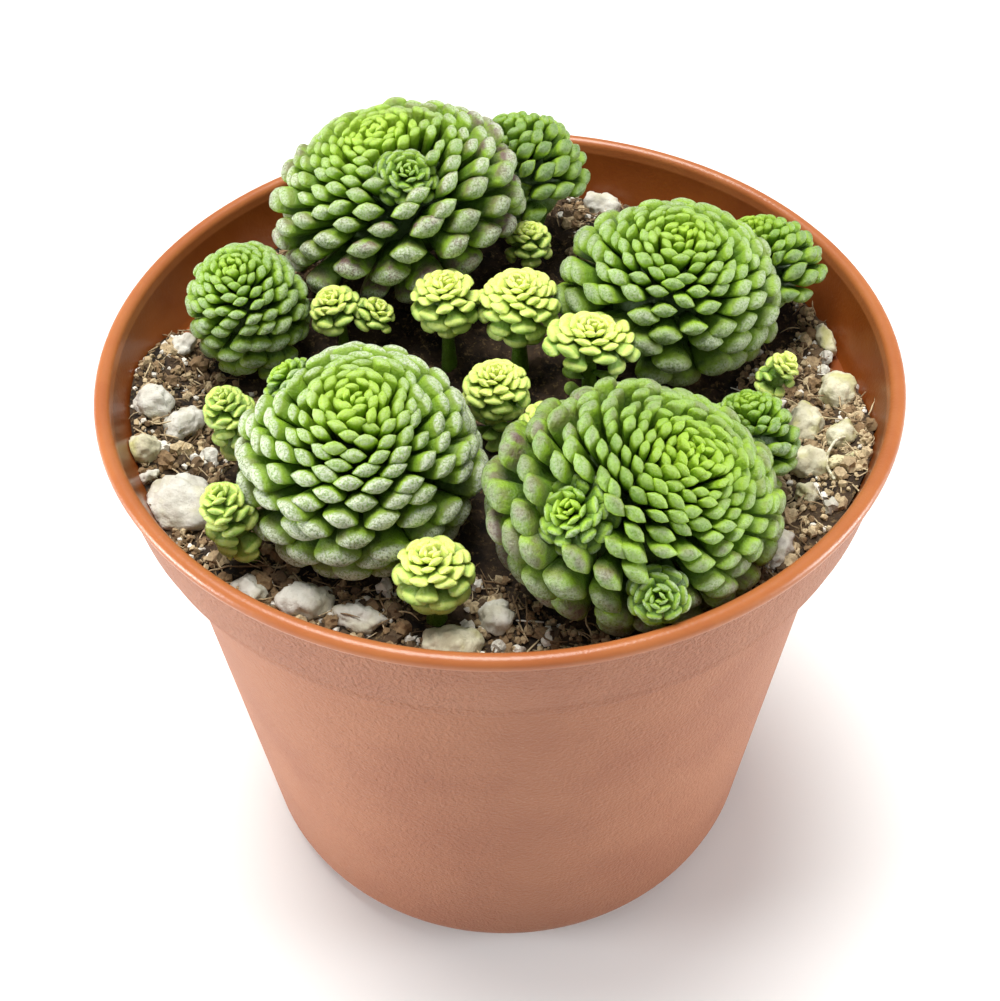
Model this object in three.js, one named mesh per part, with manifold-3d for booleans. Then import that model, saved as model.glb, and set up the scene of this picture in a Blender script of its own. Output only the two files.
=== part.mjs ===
// Potted many-leaved monanthes: a clump of small leaf rosettes in a round plastic nursery pot.
// Millimetres, +Z up, origin at the centre of the pot's flat base.

import * as THREE from "three";
import { ConvexHull } from "three/addons/math/ConvexHull.js";
import { mergeVertices } from "three/addons/utils/BufferGeometryUtils.js";
import Module from "manifold-3d";

const wasm = await Module();
wasm.setup();

// Driving dimensions

const POT_HEIGHT = 47;
const RIM_RADIUS = 27.5;
const LIP_HEIGHT = 1.0;
const BAND_TOP_RADIUS = 27.2;
const BAND_LOW_RADIUS = 26.2;
const BAND_HEIGHT = 7;
const BAND_INNER_TOP = 26.3;
const BAND_INNER_LOW = 25.4;
const WALL_TOP_RADIUS = 24.5;
const WALL_LOW_RADIUS = 21.25;
const WALL_THICKNESS = 0.95;
const BASE_CORNER = 4;
const FLOOR_THICKNESS = 1.3;
const LEDGE_HEIGHT = 41.9;
const DRAIN_HOLES = 4;
const DRAIN_RADIUS = 2.1;
const DRAIN_CIRCLE = 12;
const DRAIN_SIDES = 12;
const POT_SEGMENTS = 36;

// The lip's outline, outside to inside: how far in from the rim and how far below the pot's top.
const LIP_OUTLINE = [
  [0, 0.8],
  [0, 0.35],
  [0.25, 0.08],
  [0.55, 0],
  [0.95, 0.15],
  [1.1, 0.5],
];
const BAND_STEP = 0.3;
const LEDGE_WIDTH = 0.3;
const LEDGE_ROUNDING = 0.4;

const SEAT_GAP = 0.3;
const FACET_SAG = 0.12;

const SOIL_TOP = 42.3;
const SOIL_BUMP = 0.25;
const SOIL_SEGMENTS = 30;
const SOIL_RINGS = [22.8, 20.5, 14, 7, 0];
const SOIL_EDGE_BEVEL = 0.1;
// Waves of the soil's top: radians per millimetre and shift, across and along the view.
const SWELL_ACROSS = [0.55, 0.4];
const SWELL_ALONG = [0.62, -0.7];
const SWELL_REACH = 21;

// Banks of peat heaped against the wall: compass angle of the middle, half width, and rise at the wall.
const BANKS = [
  { towards: 180, spread: 24, rise: 2 },
  { towards: -22, spread: 26, rise: 2.6 },
];
const BANK_FOOT = 20.5;

const GRIT_SEED = 101;
const GRIT_SEED_STEP = 37;
const GRIT_ROUGHNESS = 0.13;
const GRIT_RISE = 0.25;
const POCKET_SIDES = 8;
const POCKET_ROWS = 4;
const POCKET_SHARE = 1.12;

const LEAF_FLATNESS = 0.7;
const LEAF_TURN = THREE.MathUtils.degToRad(137.508);
const HEART_SHARE = 0.5;
const FULL_WIDTH_AT = 0.55;
const FURROW_SHARE = 0.78;
const BLUNT_SHARE = 0.97;
const BLUNT_WIDTH = 0.55;
const BLUNT_FROM = 1.95;
const UNDER_SIDES = 8;
const STEM_DEPTH = 3;
const STEM_SIDES = 6;
const STEM_CIRCLE = 21.7;
const HOLE_TOP = 2;
const DRAW_BACK_STEP = 0.02;
const LEAST_KEPT = 0.1;
const MERGE_DISTANCE = 1e-4;
const DRAW_FACTOR = 16807;
const DRAW_RANGE = 2147483647;

// Each rosette's dome: centre, half widths across, height above and below the widest row of leaves,
// turn of the wide axis, lean (degrees off upright, and the compass angle it leans towards), width of
// the youngest and oldest leaves, how far down the dome the leaves go in degrees, the stem's radius,
// and how firmly it holds its ground against a neighbour. The heads are young growing points on it,
// with centres counted from the rosette's own.
const ROSETTES = [
  {
    name: "rosette_back_left", at: [-7.2, 13.4, 49.5], wide: [9.7, 9.2], turn: 0, up: 6.8, down: 6.4,
    lean: 12, towards: 180, leaf: [2, 4.6], reach: 118, stem: 1.5, firm: 6, colour: "leafOld",
    heads: [
      {
        at: [0.9, -3.3, 4.4], wide: [2.6, 2.4], up: 2.3, down: 1.6, lean: 35,
        towards: 285, leaf: [1.3, 1.9], turn: 0, reach: 100,
      },
    ],
  },
  {
    name: "rosette_back", at: [2.2, 18.2, 48.2], wide: [5.1, 5], turn: 0, up: 5.2, down: 5.8,
    lean: 28, towards: 150, leaf: [1.8, 3.4], reach: 115, stem: 1.2, firm: 1, colour: "leafMid",
  },
  {
    name: "rosette_left", at: [-17.6, 4.3, 47], wide: [4.3, 4.6], turn: 0, up: 5, down: 6.2,
    lean: 14, towards: 240, leaf: [1.7, 3.2], reach: 122, stem: 1.2, firm: 4, colour: "leafMid",
  },
  {
    name: "rosette_front_left", at: [-8.8, -11.9, 47.5], wide: [7.9, 7.9], turn: 0, up: 6.8, down: 5.8,
    lean: 9, towards: 280, leaf: [1.9, 4], reach: 122, stem: 1.5, firm: 5, colour: "leafMid",
    heads: [
      {
        at: [-3.6, 2.6, 3.6], wide: [2.2, 2.2], up: 2.2, down: 1.6, lean: 35,
        towards: 150, leaf: [1.3, 1.9], turn: 0, reach: 100,
      },
    ],
  },
  {
    name: "rosette_front_right", at: [7.9, -16, 47.2], wide: [9.9, 8], turn: 15, up: 7.6, down: 5.6,
    lean: 30, towards: 330, leaf: [1.9, 4.6], reach: 124, stem: 1.5, firm: 6, colour: "leafOld",
    heads: [
      {
        at: [-3.3, -4.2, 3.7], wide: [2.3, 2.3], up: 1.7, down: 2, lean: 40,
        towards: 225, leaf: [1.3, 1.9], turn: 0, reach: 100,
      },
      {
        at: [0.9, -7.6, 0.6], wide: [1.8, 1.7], up: 1.4, down: 1.8, lean: 50,
        towards: 262, leaf: [1.2, 1.6], turn: 0, reach: 100,
      },
    ],
  },
  {
    name: "rosette_right", at: [11.9, 3.9, 47.8], wide: [8.2, 7], turn: 0, up: 6.4, down: 5.8,
    lean: 10, towards: 300, leaf: [1.9, 4], reach: 118, stem: 1.5, firm: 6, colour: "leafMid",
  },
  {
    name: "rosette_far_right", at: [19.2, 7.6, 46.7], wide: [4.6, 4.6], turn: 0, up: 4.2, down: 5,
    lean: 26, towards: 140, leaf: [1.8, 3.3], reach: 115, stem: 1.2, firm: 1, colour: "leafMid",
  },
  {
    name: "rosette_right_edge", at: [16, -10.2, 46.8], wide: [3.1, 3.5], turn: 0, up: 3.5, down: 4.2,
    lean: 18, towards: 120, leaf: [1.5, 2.4], reach: 112, stem: 0.7, firm: 1, colour: "leafMid",
  },
  {
    name: "offset_twin", at: [-11.3, 3.5, 47.3], wide: [2, 2], turn: 0, up: 1.8, down: 2.2,
    lean: 15, towards: 200, leaf: [1.2, 1.8], reach: 125, stem: 0.7, firm: 4, colour: "leafYoung",
    heads: [
      {
        at: [2.5, -0.2, -0.4], wide: [1.6, 1.5], up: 1.4, down: 1.6, lean: 30,
        towards: 0, leaf: [1.2, 1.5], turn: 0, reach: 100,
      },
    ],
  },
  {
    name: "offset_middle_left", at: [-3.6, 3.4, 48], wide: [2.6, 2.5], turn: 0, up: 2.2, down: 2.4,
    lean: 0, towards: 0, leaf: [1.3, 2.1], reach: 125, stem: 0.7, firm: 4, colour: "leafYoung",
  },
  {
    name: "offset_middle", at: [1.5, 2.8, 48], wide: [3, 2.9], turn: 0, up: 2.5, down: 2.8,
    lean: 0, towards: 0, leaf: [1.3, 2.2], reach: 125, stem: 0.8, firm: 4, colour: "leafYoung",
  },
  {
    name: "offset_back", at: [2.4, 12.3, 46.2], wide: [1.9, 1.9], turn: 0, up: 2, down: 2,
    lean: 0, towards: 0, leaf: [1.2, 1.8], reach: 120, stem: 0.7, firm: 3, colour: "leafYoung",
  },
  {
    name: "offset_stalked", at: [6.2, -2.1, 48.5], wide: [3.5, 2.6], turn: 0, up: 2, down: 1.7,
    lean: 5, towards: 0, leaf: [1.3, 2.2], reach: 125, stem: 0.7, firm: 5, colour: "leafYoung",
  },
  {
    name: "offset_centre", at: [-0.2, -4.3, 46.5], wide: [2.4, 2.3], turn: 0, up: 2, down: 2.3,
    lean: 0, towards: 0, leaf: [1.3, 2], reach: 125, stem: 0.7, firm: 4, colour: "leafYoung",
  },
  {
    name: "offset_right_of_centre", at: [3.2, -7.4, 46], wide: [2.1, 1.9], turn: 0, up: 1.7, down: 2,
    lean: 0, towards: 0, leaf: [1.2, 1.8], reach: 120, stem: 0.7, firm: 3, colour: "leafYoung",
  },
  {
    name: "offset_front", at: [-4.1, -20.3, 46.5], wide: [2.5, 2.4], turn: 0, up: 2, down: 2.7,
    lean: 0, towards: 0, leaf: [1.3, 2.1], reach: 125, stem: 0.8, firm: 6, colour: "leafYoung",
  },
  {
    name: "offset_front_left", at: [-16.6, -15.6, 46.6], wide: [1.75, 1.9], turn: 0, up: 2.8, down: 4.2,
    lean: 12, towards: 200, leaf: [1.3, 2], reach: 135, stem: 0.7, firm: 5, colour: "leafYoung",
  },
  {
    name: "offset_left", at: [-17.3, -7.3, 46.8], wide: [1.8, 2], turn: 0, up: 3.1, down: 4.2,
    lean: 12, towards: 200, leaf: [1.3, 2], reach: 135, stem: 0.7, firm: 3, colour: "leafYoung",
  },
  {
    name: "offset_right", at: [18.7, -3.1, 46.2], wide: [1.25, 1.3], turn: 0, up: 2.1, down: 2.6,
    lean: 22, towards: 0, leaf: [1.2, 1.6], reach: 120, stem: 0.6, firm: 3, colour: "leafYoung",
  },
];

// Lumps of pumice and lime grit that lie half sunk in the soil: centre across the pot, half sizes, turn.
const GRIT = [
  { at: [-23.1, 5.0], half: [1.0, 0.9, 0.8], turn: 20 },
  { at: [-24.0, -2.0], half: [1.3, 1.3, 1.2], turn: 30 },
  { at: [-21.9, -3.3], half: [1.8, 0.95, 1.0], turn: 57 },
  { at: [-24.2, -5.7], half: [0.9, 1.1, 1.0], turn: 0 },
  { at: [-23.6, -7.8], half: [0.6, 0.55, 0.5], turn: 40 },
  { at: [-21.2, -10.5], half: [2.3, 2.3, 1.3], turn: 40 },
  { at: [-15.7, -18.0], half: [1.25, 1.0, 0.9], turn: 150 },
  { at: [-12.2, -18.9], half: [1.6, 1.3, 1.1], turn: 10 },
  { at: [-8.8, -20.4], half: [1.5, 1.0, 0.9], turn: 170 },
  { at: [-3.2, -22.7], half: [1.8, 1.2, 1.1], turn: 10 },
  { at: [-0.4, -20.5], half: [1.1, 1.2, 1.0], turn: 30 },
  { at: [23.7, -1.1], half: [1.2, 1.9, 1.3], turn: 10 },
  { at: [20.95, -3.9], half: [1.2, 1.7, 1.2], turn: 0 },
  { at: [22.7, -6.6], half: [0.95, 1.0, 0.9], turn: 0 },
  { at: [20.3, -8.7], half: [1.5, 1.3, 1.1], turn: 150 },
  { at: [19.7, -11.4], half: [0.75, 0.75, 0.7], turn: 60 },
  { at: [17.4, -15.8], half: [0.7, 1.4, 0.8], turn: 160 },
  { at: [24.0, 5.2], half: [0.55, 1.5, 0.9], turn: 12 },
  { at: [8.6, 22.5], half: [1.6, 1.0, 1.1], turn: 165 },
  { at: [14.6, 19.6], half: [1.4, 1.0, 1.1], turn: 130 },
];

const materials = {
  pot: new THREE.MeshStandardMaterial({ color: "#c5734d", roughness: 0.6, metalness: 0 }),
  soil: new THREE.MeshStandardMaterial({ color: "#3a2f28", roughness: 1, metalness: 0 }),
  grit: new THREE.MeshStandardMaterial({ color: "#e6e2d8", roughness: 0.95, metalness: 0 }),
  leafOld: new THREE.MeshStandardMaterial({ color: "#6f8f4c", roughness: 0.6, metalness: 0 }),
  leafMid: new THREE.MeshStandardMaterial({ color: "#7fa94a", roughness: 0.6, metalness: 0 }),
  leafYoung: new THREE.MeshStandardMaterial({ color: "#a6cc5a", roughness: 0.6, metalness: 0 }),
};

const UP = new THREE.Vector3(0, 0, 1);

// Closed meshes and solids

function closedGeometry(points, faces) {
  const geometry = new THREE.BufferGeometry();
  const flat = points.flatMap((point) => point.toArray());
  geometry.setAttribute("position", new THREE.Float32BufferAttribute(flat, 3));
  geometry.setIndex(faces.flat());
  return geometry;
}

function cornersOf(geometry) {
  const position = geometry.attributes.position;
  const corner = (_, index) => new THREE.Vector3().fromBufferAttribute(position, index);
  return Array.from({ length: position.count }, corner);
}

function toSolid(geometry) {
  const bare = geometry.clone();
  bare.deleteAttribute("normal");
  bare.deleteAttribute("uv");
  const merged = mergeVertices(bare, MERGE_DISTANCE);
  return new wasm.Manifold(new wasm.Mesh({
    numProp: 3,
    vertProperties: Float32Array.from(merged.attributes.position.array),
    triVerts: Uint32Array.from(merged.index.array),
  }));
}

function toGeometry(solid) {
  const { vertProperties, triVerts } = solid.getMesh();
  const geometry = new THREE.BufferGeometry();
  geometry.setAttribute("position", new THREE.BufferAttribute(vertProperties, 3));
  geometry.setIndex(new THREE.BufferAttribute(triVerts, 1));
  geometry.computeVertexNormals();
  return geometry;
}

// The body with the most volume, without loose scraps or sealed hollows.
function largestBody(solid) {
  const bodies = solid.decompose();
  return bodies.reduce((best, body) => (body.volume() > best.volume() ? body : best));
}

function lathe(profile, segments) {
  const points = profile.map(([radius, height]) => new THREE.Vector2(radius, height));
  return new THREE.LatheGeometry(points, segments).rotateX(Math.PI / 2);
}

function arc(centreRadius, centreHeight, radius, fromDegrees, toDegrees, steps) {
  return Array.from({ length: steps + 1 }, (_, step) => {
    const angle = THREE.MathUtils.degToRad(fromDegrees + ((toDegrees - fromDegrees) * step) / steps);
    return [centreRadius + radius * Math.cos(angle), centreHeight + radius * Math.sin(angle)];
  });
}

// Repeatable draws between -1 and 1, the same for every run.
function seededDraws(seed) {
  let state = seed;
  return () => {
    state = (state * DRAW_FACTOR) % DRAW_RANGE;
    return (state / DRAW_RANGE) * 2 - 1;
  };
}

// Pot

function potSolid() {
  const bandFoot = POT_HEIGHT - BAND_HEIGHT;
  const lipFoot = POT_HEIGHT - LIP_HEIGHT;
  const innerLow = WALL_LOW_RADIUS - WALL_THICKNESS;
  const innerTop = WALL_TOP_RADIUS - WALL_THICKNESS;
  const innerCorner = BASE_CORNER - WALL_THICKNESS;
  const profile = [
    [0, 0],
    ...arc(WALL_LOW_RADIUS - BASE_CORNER, BASE_CORNER, BASE_CORNER, -90, 0, 3),
    [WALL_TOP_RADIUS, bandFoot - BAND_STEP],
    [BAND_LOW_RADIUS, bandFoot],
    [BAND_TOP_RADIUS, lipFoot],
    ...LIP_OUTLINE.map(([inwards, below]) => [RIM_RADIUS - inwards, POT_HEIGHT - below]),
    [BAND_INNER_TOP, lipFoot],
    [BAND_INNER_LOW, LEDGE_HEIGHT + LEDGE_ROUNDING],
    [BAND_INNER_LOW - LEDGE_WIDTH, LEDGE_HEIGHT],
    [innerTop, LEDGE_HEIGHT - BAND_STEP],
    ...arc(innerLow - innerCorner, FLOOR_THICKNESS + innerCorner, innerCorner, 0, -90, 2),
    [0, FLOOR_THICKNESS],
  ];
  let solid = toSolid(lathe(profile, POT_SEGMENTS));
  for (let hole = 0; hole < DRAIN_HOLES; hole += 1) {
    const angle = ((hole + 0.5) / DRAIN_HOLES) * 2 * Math.PI;
    const drill = new THREE.CylinderGeometry(DRAIN_RADIUS, DRAIN_RADIUS, 4 * FLOOR_THICKNESS, DRAIN_SIDES);
    drill.rotateX(Math.PI / 2);
    drill.translate(DRAIN_CIRCLE * Math.cos(angle), DRAIN_CIRCLE * Math.sin(angle), 0);
    solid = solid.subtract(toSolid(drill));
  }
  return solid;
}

// Inner radius of the pot at a height.
function potInnerRadius(height) {
  const lipFoot = POT_HEIGHT - LIP_HEIGHT;
  if (height >= LEDGE_HEIGHT) {
    const share = Math.min((height - LEDGE_HEIGHT) / (lipFoot - LEDGE_HEIGHT), 1);
    return THREE.MathUtils.lerp(BAND_INNER_LOW, BAND_INNER_TOP, share);
  }
  const share = (height - BASE_CORNER) / (LEDGE_HEIGHT - BASE_CORNER);
  return THREE.MathUtils.lerp(WALL_LOW_RADIUS, WALL_TOP_RADIUS, share) - WALL_THICKNESS;
}

function isInsidePot(point) {
  return Math.hypot(point.x, point.y) < potInnerRadius(point.z) - SEAT_GAP - FACET_SAG;
}

// Soil

// Height that a bank adds at a point: most at the wall in its middle, none past its ends or its foot.
function bankHeight(bank, x, y) {
  const angle = THREE.MathUtils.radToDeg(Math.atan2(y, x)) - bank.towards;
  const aside = Math.abs(THREE.MathUtils.euclideanModulo(angle + 180, 360) - 180) / bank.spread;
  const outwards = (Math.hypot(x, y) - BANK_FOOT) / (BAND_INNER_LOW - BANK_FOOT);
  const along = Math.cos((Math.min(aside, 1) * Math.PI) / 2) ** 2;
  return bank.rise * along * THREE.MathUtils.clamp(outwards, 0, 1);
}

function soilHeight(x, y) {
  const banks = BANKS.reduce((sum, bank) => sum + bankHeight(bank, x, y), 0);
  if (Math.hypot(x, y) > SWELL_REACH) {
    return SOIL_TOP + banks;
  }
  const across = Math.sin(SWELL_ACROSS[0] * x + SWELL_ACROSS[1]);
  const along = Math.cos(SWELL_ALONG[0] * y + SWELL_ALONG[1]);
  return SOIL_TOP + SOIL_BUMP * across * along + banks;
}

function soilBlank() {
  const corner = BASE_CORNER - WALL_THICKNESS;
  const foot = FLOOR_THICKNESS + SEAT_GAP;
  const lowRadius = WALL_LOW_RADIUS - WALL_THICKNESS - SEAT_GAP;
  const neckHeight = LEDGE_HEIGHT - BAND_STEP;
  const topRadius = BAND_INNER_LOW - SEAT_GAP;
  const profile = [
    [0, foot],
    ...arc(lowRadius - corner, foot + corner, corner, -90, 0, 2),
    [potInnerRadius(neckHeight) - SEAT_GAP, neckHeight],
    [topRadius - SOIL_EDGE_BEVEL, LEDGE_HEIGHT + SEAT_GAP],
    [topRadius, SOIL_TOP],
    ...SOIL_RINGS.map((radius) => [radius, SOIL_TOP]),
  ];
  const geometry = lathe(profile, SOIL_SEGMENTS);
  const position = geometry.attributes.position;
  for (let index = 0; index < position.count; index += 1) {
    if (position.getZ(index) > SOIL_TOP - MERGE_DISTANCE) {
      position.setZ(index, soilHeight(position.getX(index), position.getY(index)));
    }
  }
  return geometry;
}

// Grit

function gritFrame(lump) {
  const frame = new THREE.Object3D();
  const [x, y] = lump.at;
  frame.position.set(x, y, soilHeight(x, y) + GRIT_RISE * lump.half[2]);
  frame.rotation.z = THREE.MathUtils.degToRad(lump.turn);
  frame.updateMatrixWorld();
  return frame;
}

// A rough lump, drawn in wherever it would meet the pot.
function gritGeometry(lump, frame, index) {
  const draw = seededDraws(GRIT_SEED + GRIT_SEED_STEP * index);
  const ball = new THREE.IcosahedronGeometry(1, 1);
  ball.deleteAttribute("normal");
  ball.deleteAttribute("uv");
  const merged = mergeVertices(ball, MERGE_DISTANCE);
  const position = merged.attributes.position;
  const half = new THREE.Vector3(...lump.half);
  for (let vertex = 0; vertex < position.count; vertex += 1) {
    const point = new THREE.Vector3().fromBufferAttribute(position, vertex).multiply(half);
    point.multiplyScalar(1 + GRIT_ROUGHNESS * draw());
    while (!isInsidePot(frame.localToWorld(point.clone()))) {
      point.multiplyScalar(1 - DRAW_BACK_STEP);
    }
    position.setXYZ(vertex, point.x, point.y, point.z);
  }
  return merged;
}

// The hollow that a lump lies in: a plain bowl with a gap all round the lump.
function pocketGeometry(lump) {
  const bowl = new THREE.SphereGeometry(1, POCKET_SIDES, POCKET_ROWS).rotateX(Math.PI / 2);
  const grow = lump.half.map((half) => POCKET_SHARE * half + SEAT_GAP);
  return bowl.scale(...grow);
}

// Rosettes

function leaningFrame(at, lean, towards) {
  const frame = new THREE.Object3D();
  const slant = THREE.MathUtils.degToRad(lean);
  const compass = THREE.MathUtils.degToRad(towards);
  const axis = new THREE.Vector3(
    Math.sin(slant) * Math.cos(compass),
    Math.sin(slant) * Math.sin(compass),
    Math.cos(slant),
  );
  frame.position.set(...at);
  frame.quaternion.setFromUnitVectors(UP, axis);
  frame.updateMatrixWorld();
  return frame;
}

// Point of a dome in a direction from its centre, given as a unit vector.
function domePoint(dome, unit) {
  const height = unit.z > 0 ? dome.up : dome.down;
  const point = new THREE.Vector3(dome.wide[0] * unit.x, dome.wide[1] * unit.y, height * unit.z);
  return point.applyAxisAngle(UP, THREE.MathUtils.degToRad(dome.turn));
}

// How far a dome reaches from its centre in a direction of the part's frame.
function domeReach(dome, frame, direction) {
  const turn = THREE.MathUtils.degToRad(dome.turn);
  const local = direction.clone().applyQuaternion(frame.quaternion.clone().invert());
  local.applyAxisAngle(UP, -turn);
  const height = local.z > 0 ? dome.up : dome.down;
  return Math.hypot(dome.wide[0] * local.x, dome.wide[1] * local.y, height * local.z);
}

// The planes that keep a rosette off its neighbours and off the grit.
function limitsOf(rosette, frame, others, lumps) {
  const limits = [];
  const centre = frame.position;
  for (const other of others) {
    if (other.rosette === rosette) {
      continue;
    }
    const between = other.frame.position.clone().sub(centre);
    const distance = between.length();
    const normal = between.normalize();
    const mine = domeReach(rosette, frame, normal);
    const theirs = domeReach(other.rosette, other.frame, normal.clone().negate());
    const crossing = mine + theirs - distance;
    if (crossing > -SEAT_GAP) {
      const share = other.rosette.firm / (rosette.firm + other.rosette.firm);
      const reach = mine - crossing * share - SEAT_GAP / 2;
      limits.push({ normal, offset: normal.dot(centre) + reach });
    }
  }
  for (const lump of lumps) {
    const normal = lump.centre.clone().sub(centre).normalize();
    const near = Math.min(...lump.corners.map((corner) => normal.dot(corner)));
    limits.push({ normal, offset: near - SEAT_GAP });
  }
  return limits;
}

function isClear(point, limits) {
  const overLip = point.z > POT_HEIGHT + SEAT_GAP;
  const overSoil = point.z > SOIL_TOP + SOIL_BUMP + SEAT_GAP;
  const offNeighbours = limits.every((limit) => limit.normal.dot(point) <= limit.offset);
  return overSoil && (overLip || isInsidePot(point)) && offNeighbours;
}

// Leaves in a spiral down the dome, each given its own patch of the surface.
function leafSpots(dome) {
  const spots = [];
  const reach = THREE.MathUtils.degToRad(dome.reach);
  const mean = (dome.wide[0] + dome.wide[1]) / 2;
  let down = HEART_SHARE * (dome.leaf[0] / mean);
  for (let index = 0; down < reach; index += 1) {
    const age = Math.min(down / (FULL_WIDTH_AT * reach), 1);
    const width = THREE.MathUtils.lerp(dome.leaf[0], dome.leaf[1], age);
    spots.push({ down, round: index * LEAF_TURN, isLeaf: true, isBlunt: width > BLUNT_FROM });
    const height = down < Math.PI / 2 ? dome.up : dome.down;
    const slope = Math.hypot(mean * Math.cos(down), height * Math.sin(down));
    down += (LEAF_FLATNESS * width * width) / (2 * Math.PI * mean * Math.sin(down) * slope);
  }
  return spots;
}

// Plain points that close the dome underneath, where no leaf grows.
function underSpots(dome) {
  const down = THREE.MathUtils.degToRad((dome.reach + 180) / 2);
  const ring = Array.from({ length: UNDER_SIDES }, (_, side) => ({
    down,
    round: (side / UNDER_SIDES) * 2 * Math.PI,
    isLeaf: false,
    isBlunt: false,
  }));
  return [...ring, { down: Math.PI, round: 0, isLeaf: false, isBlunt: false }];
}

function unitPoint(down, round) {
  const across = Math.sin(down);
  return new THREE.Vector3(across * Math.sin(round), -across * Math.cos(round), Math.cos(down));
}

// One head of leaves: every spot is a blunt leaf end that stands out of the furrows round it, where
// three leaves meet. Each point lies on a ray of its own from the head's centre, so the surface closes
// without crossing itself, and a point that would meet a neighbour is drawn back along its ray.
function headGeometry(dome, frame, limits) {
  const points = [];
  const faces = [];

  function addPoint(unit, share) {
    const full = domePoint(dome, unit).multiplyScalar(share);
    const placed = (part) => frame.localToWorld(full.clone().multiplyScalar(part));
    let kept = 1;
    while (kept > LEAST_KEPT && !isClear(placed(kept), limits)) {
      kept -= DRAW_BACK_STEP;
    }
    points.push(full.multiplyScalar(kept));
    return points.length - 1;
  }

  const spots = [...leafSpots(dome), ...underSpots(dome)];
  const units = spots.map((spot) => unitPoint(spot.down, spot.round));
  const spotOf = new Map(units.map((unit, index) => [unit, spots[index]]));
  const hull = new ConvexHull().setFromPoints(units);
  const furrowOf = new Map();
  for (const face of hull.faces) {
    const corners = [face.getEdge(0), face.getEdge(1), face.getEdge(2)].map((edge) => edge.head().point);
    const middle = corners[0].clone().add(corners[1]).add(corners[2]).normalize();
    furrowOf.set(face, { unit: middle, index: addPoint(middle, FURROW_SHARE) });
  }

  const tipOf = new Map();
  const ringOf = new Map();

  function tipIndex(unit) {
    if (!tipOf.has(unit)) {
      tipOf.set(unit, addPoint(unit, spotOf.get(unit).isLeaf ? 1 : FURROW_SHARE));
    }
    return tipOf.get(unit);
  }

  function ringIndex(unit, face) {
    const rings = ringOf.get(unit) ?? new Map();
    ringOf.set(unit, rings);
    if (!rings.has(face)) {
      const between = unit.clone().lerp(furrowOf.get(face).unit, BLUNT_WIDTH).normalize();
      rings.set(face, addPoint(between, BLUNT_SHARE));
    }
    return rings.get(face);
  }

  for (const face of hull.faces) {
    for (const edge of [face.getEdge(0), face.getEdge(1), face.getEdge(2)]) {
      const unit = edge.tail().point;
      const next = edge.twin.face;
      const here = furrowOf.get(face).index;
      const there = furrowOf.get(next).index;
      const tip = tipIndex(unit);
      if (spotOf.get(unit).isBlunt) {
        const ringHere = ringIndex(unit, face);
        const ringThere = ringIndex(unit, next);
        faces.push([tip, ringThere, ringHere]);
        faces.push([ringThere, there, here]);
        faces.push([ringThere, here, ringHere]);
      } else {
        faces.push([tip, there, here]);
      }
    }
  }
  return closedGeometry(points, faces);
}

// An upright rod under a rosette, kept clear of the pot's wall.
function rodGeometry(rosette, radius, foot, head) {
  const rod = new THREE.CylinderGeometry(radius, radius, head - foot, STEM_SIDES).rotateX(Math.PI / 2);
  const place = new THREE.Vector2(rosette.at[0], rosette.at[1]).clampLength(0, STEM_CIRCLE);
  return rod.translate(place.x, place.y, (head + foot) / 2);
}

// The stem, from the heart of the rosette down into the soil, in the rosette's own frame.
function stemGeometry(rosette, frame) {
  const stem = rodGeometry(rosette, rosette.stem, SOIL_TOP - STEM_DEPTH, rosette.at[2]);
  return stem.applyMatrix4(frame.matrixWorld.clone().invert());
}

function stemHole(rosette) {
  const foot = SOIL_TOP - STEM_DEPTH - SEAT_GAP;
  return rodGeometry(rosette, rosette.stem + SEAT_GAP, foot, SOIL_TOP + HOLE_TOP);
}

function rosetteSolid(rosette, frame, limits) {
  let solid = toSolid(headGeometry(rosette, frame, limits));
  for (const head of rosette.heads ?? []) {
    const centre = new THREE.Vector3(...rosette.at).add(new THREE.Vector3(...head.at));
    const headFrame = leaningFrame(centre.toArray(), head.lean, head.towards);
    const small = headGeometry(head, headFrame, limits);
    small.applyMatrix4(headFrame.matrixWorld);
    small.applyMatrix4(frame.matrixWorld.clone().invert());
    solid = solid.add(toSolid(small));
  }
  return largestBody(solid.add(toSolid(stemGeometry(rosette, frame))));
}

// Assembly

const plant = new THREE.Group();

function addMesh(name, geometry, material, frame) {
  const mesh = new THREE.Mesh(geometry, material);
  mesh.name = name;
  if (frame) {
    mesh.position.copy(frame.position);
    mesh.quaternion.copy(frame.quaternion);
  }
  plant.add(mesh);
}

addMesh("pot", toGeometry(potSolid()), materials.pot);

let soil = toSolid(soilBlank());
const lumps = GRIT.map((lump, index) => {
  const frame = gritFrame(lump);
  const own = gritGeometry(lump, frame, index);
  const pocket = pocketGeometry(lump).applyMatrix4(frame.matrixWorld);
  soil = soil.subtract(toSolid(pocket));
  addMesh(`grit_${index + 1}`, own, materials.grit, frame);
  return { centre: frame.position, corners: cornersOf(own.clone().applyMatrix4(frame.matrixWorld)) };
});

const standing = ROSETTES.map((rosette) => ({
  rosette,
  frame: leaningFrame(rosette.at, rosette.lean, rosette.towards),
}));

for (const { rosette, frame } of standing) {
  const limits = limitsOf(rosette, frame, standing, lumps);
  const solid = rosetteSolid(rosette, frame, limits);
  soil = soil.subtract(toSolid(stemHole(rosette)));
  addMesh(rosette.name, toGeometry(solid), materials[rosette.colour], frame);
}

addMesh("soil", toGeometry(largestBody(soil)), materials.soil);

export default plant;
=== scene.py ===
# %% [markdown]
# A potted many-leaved monanthes: a clump of small succulent rosettes in a round plastic nursery pot.
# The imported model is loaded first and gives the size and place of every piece. The cells below put
# finer pieces in the same places: the moulded pot, peaty soil with grit, and rosettes of plump leaves.

import math
import random
from types import SimpleNamespace

import bpy
import numpy as np
from mathutils import Matrix, Vector
from mathutils.bvhtree import BVHTree


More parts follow.
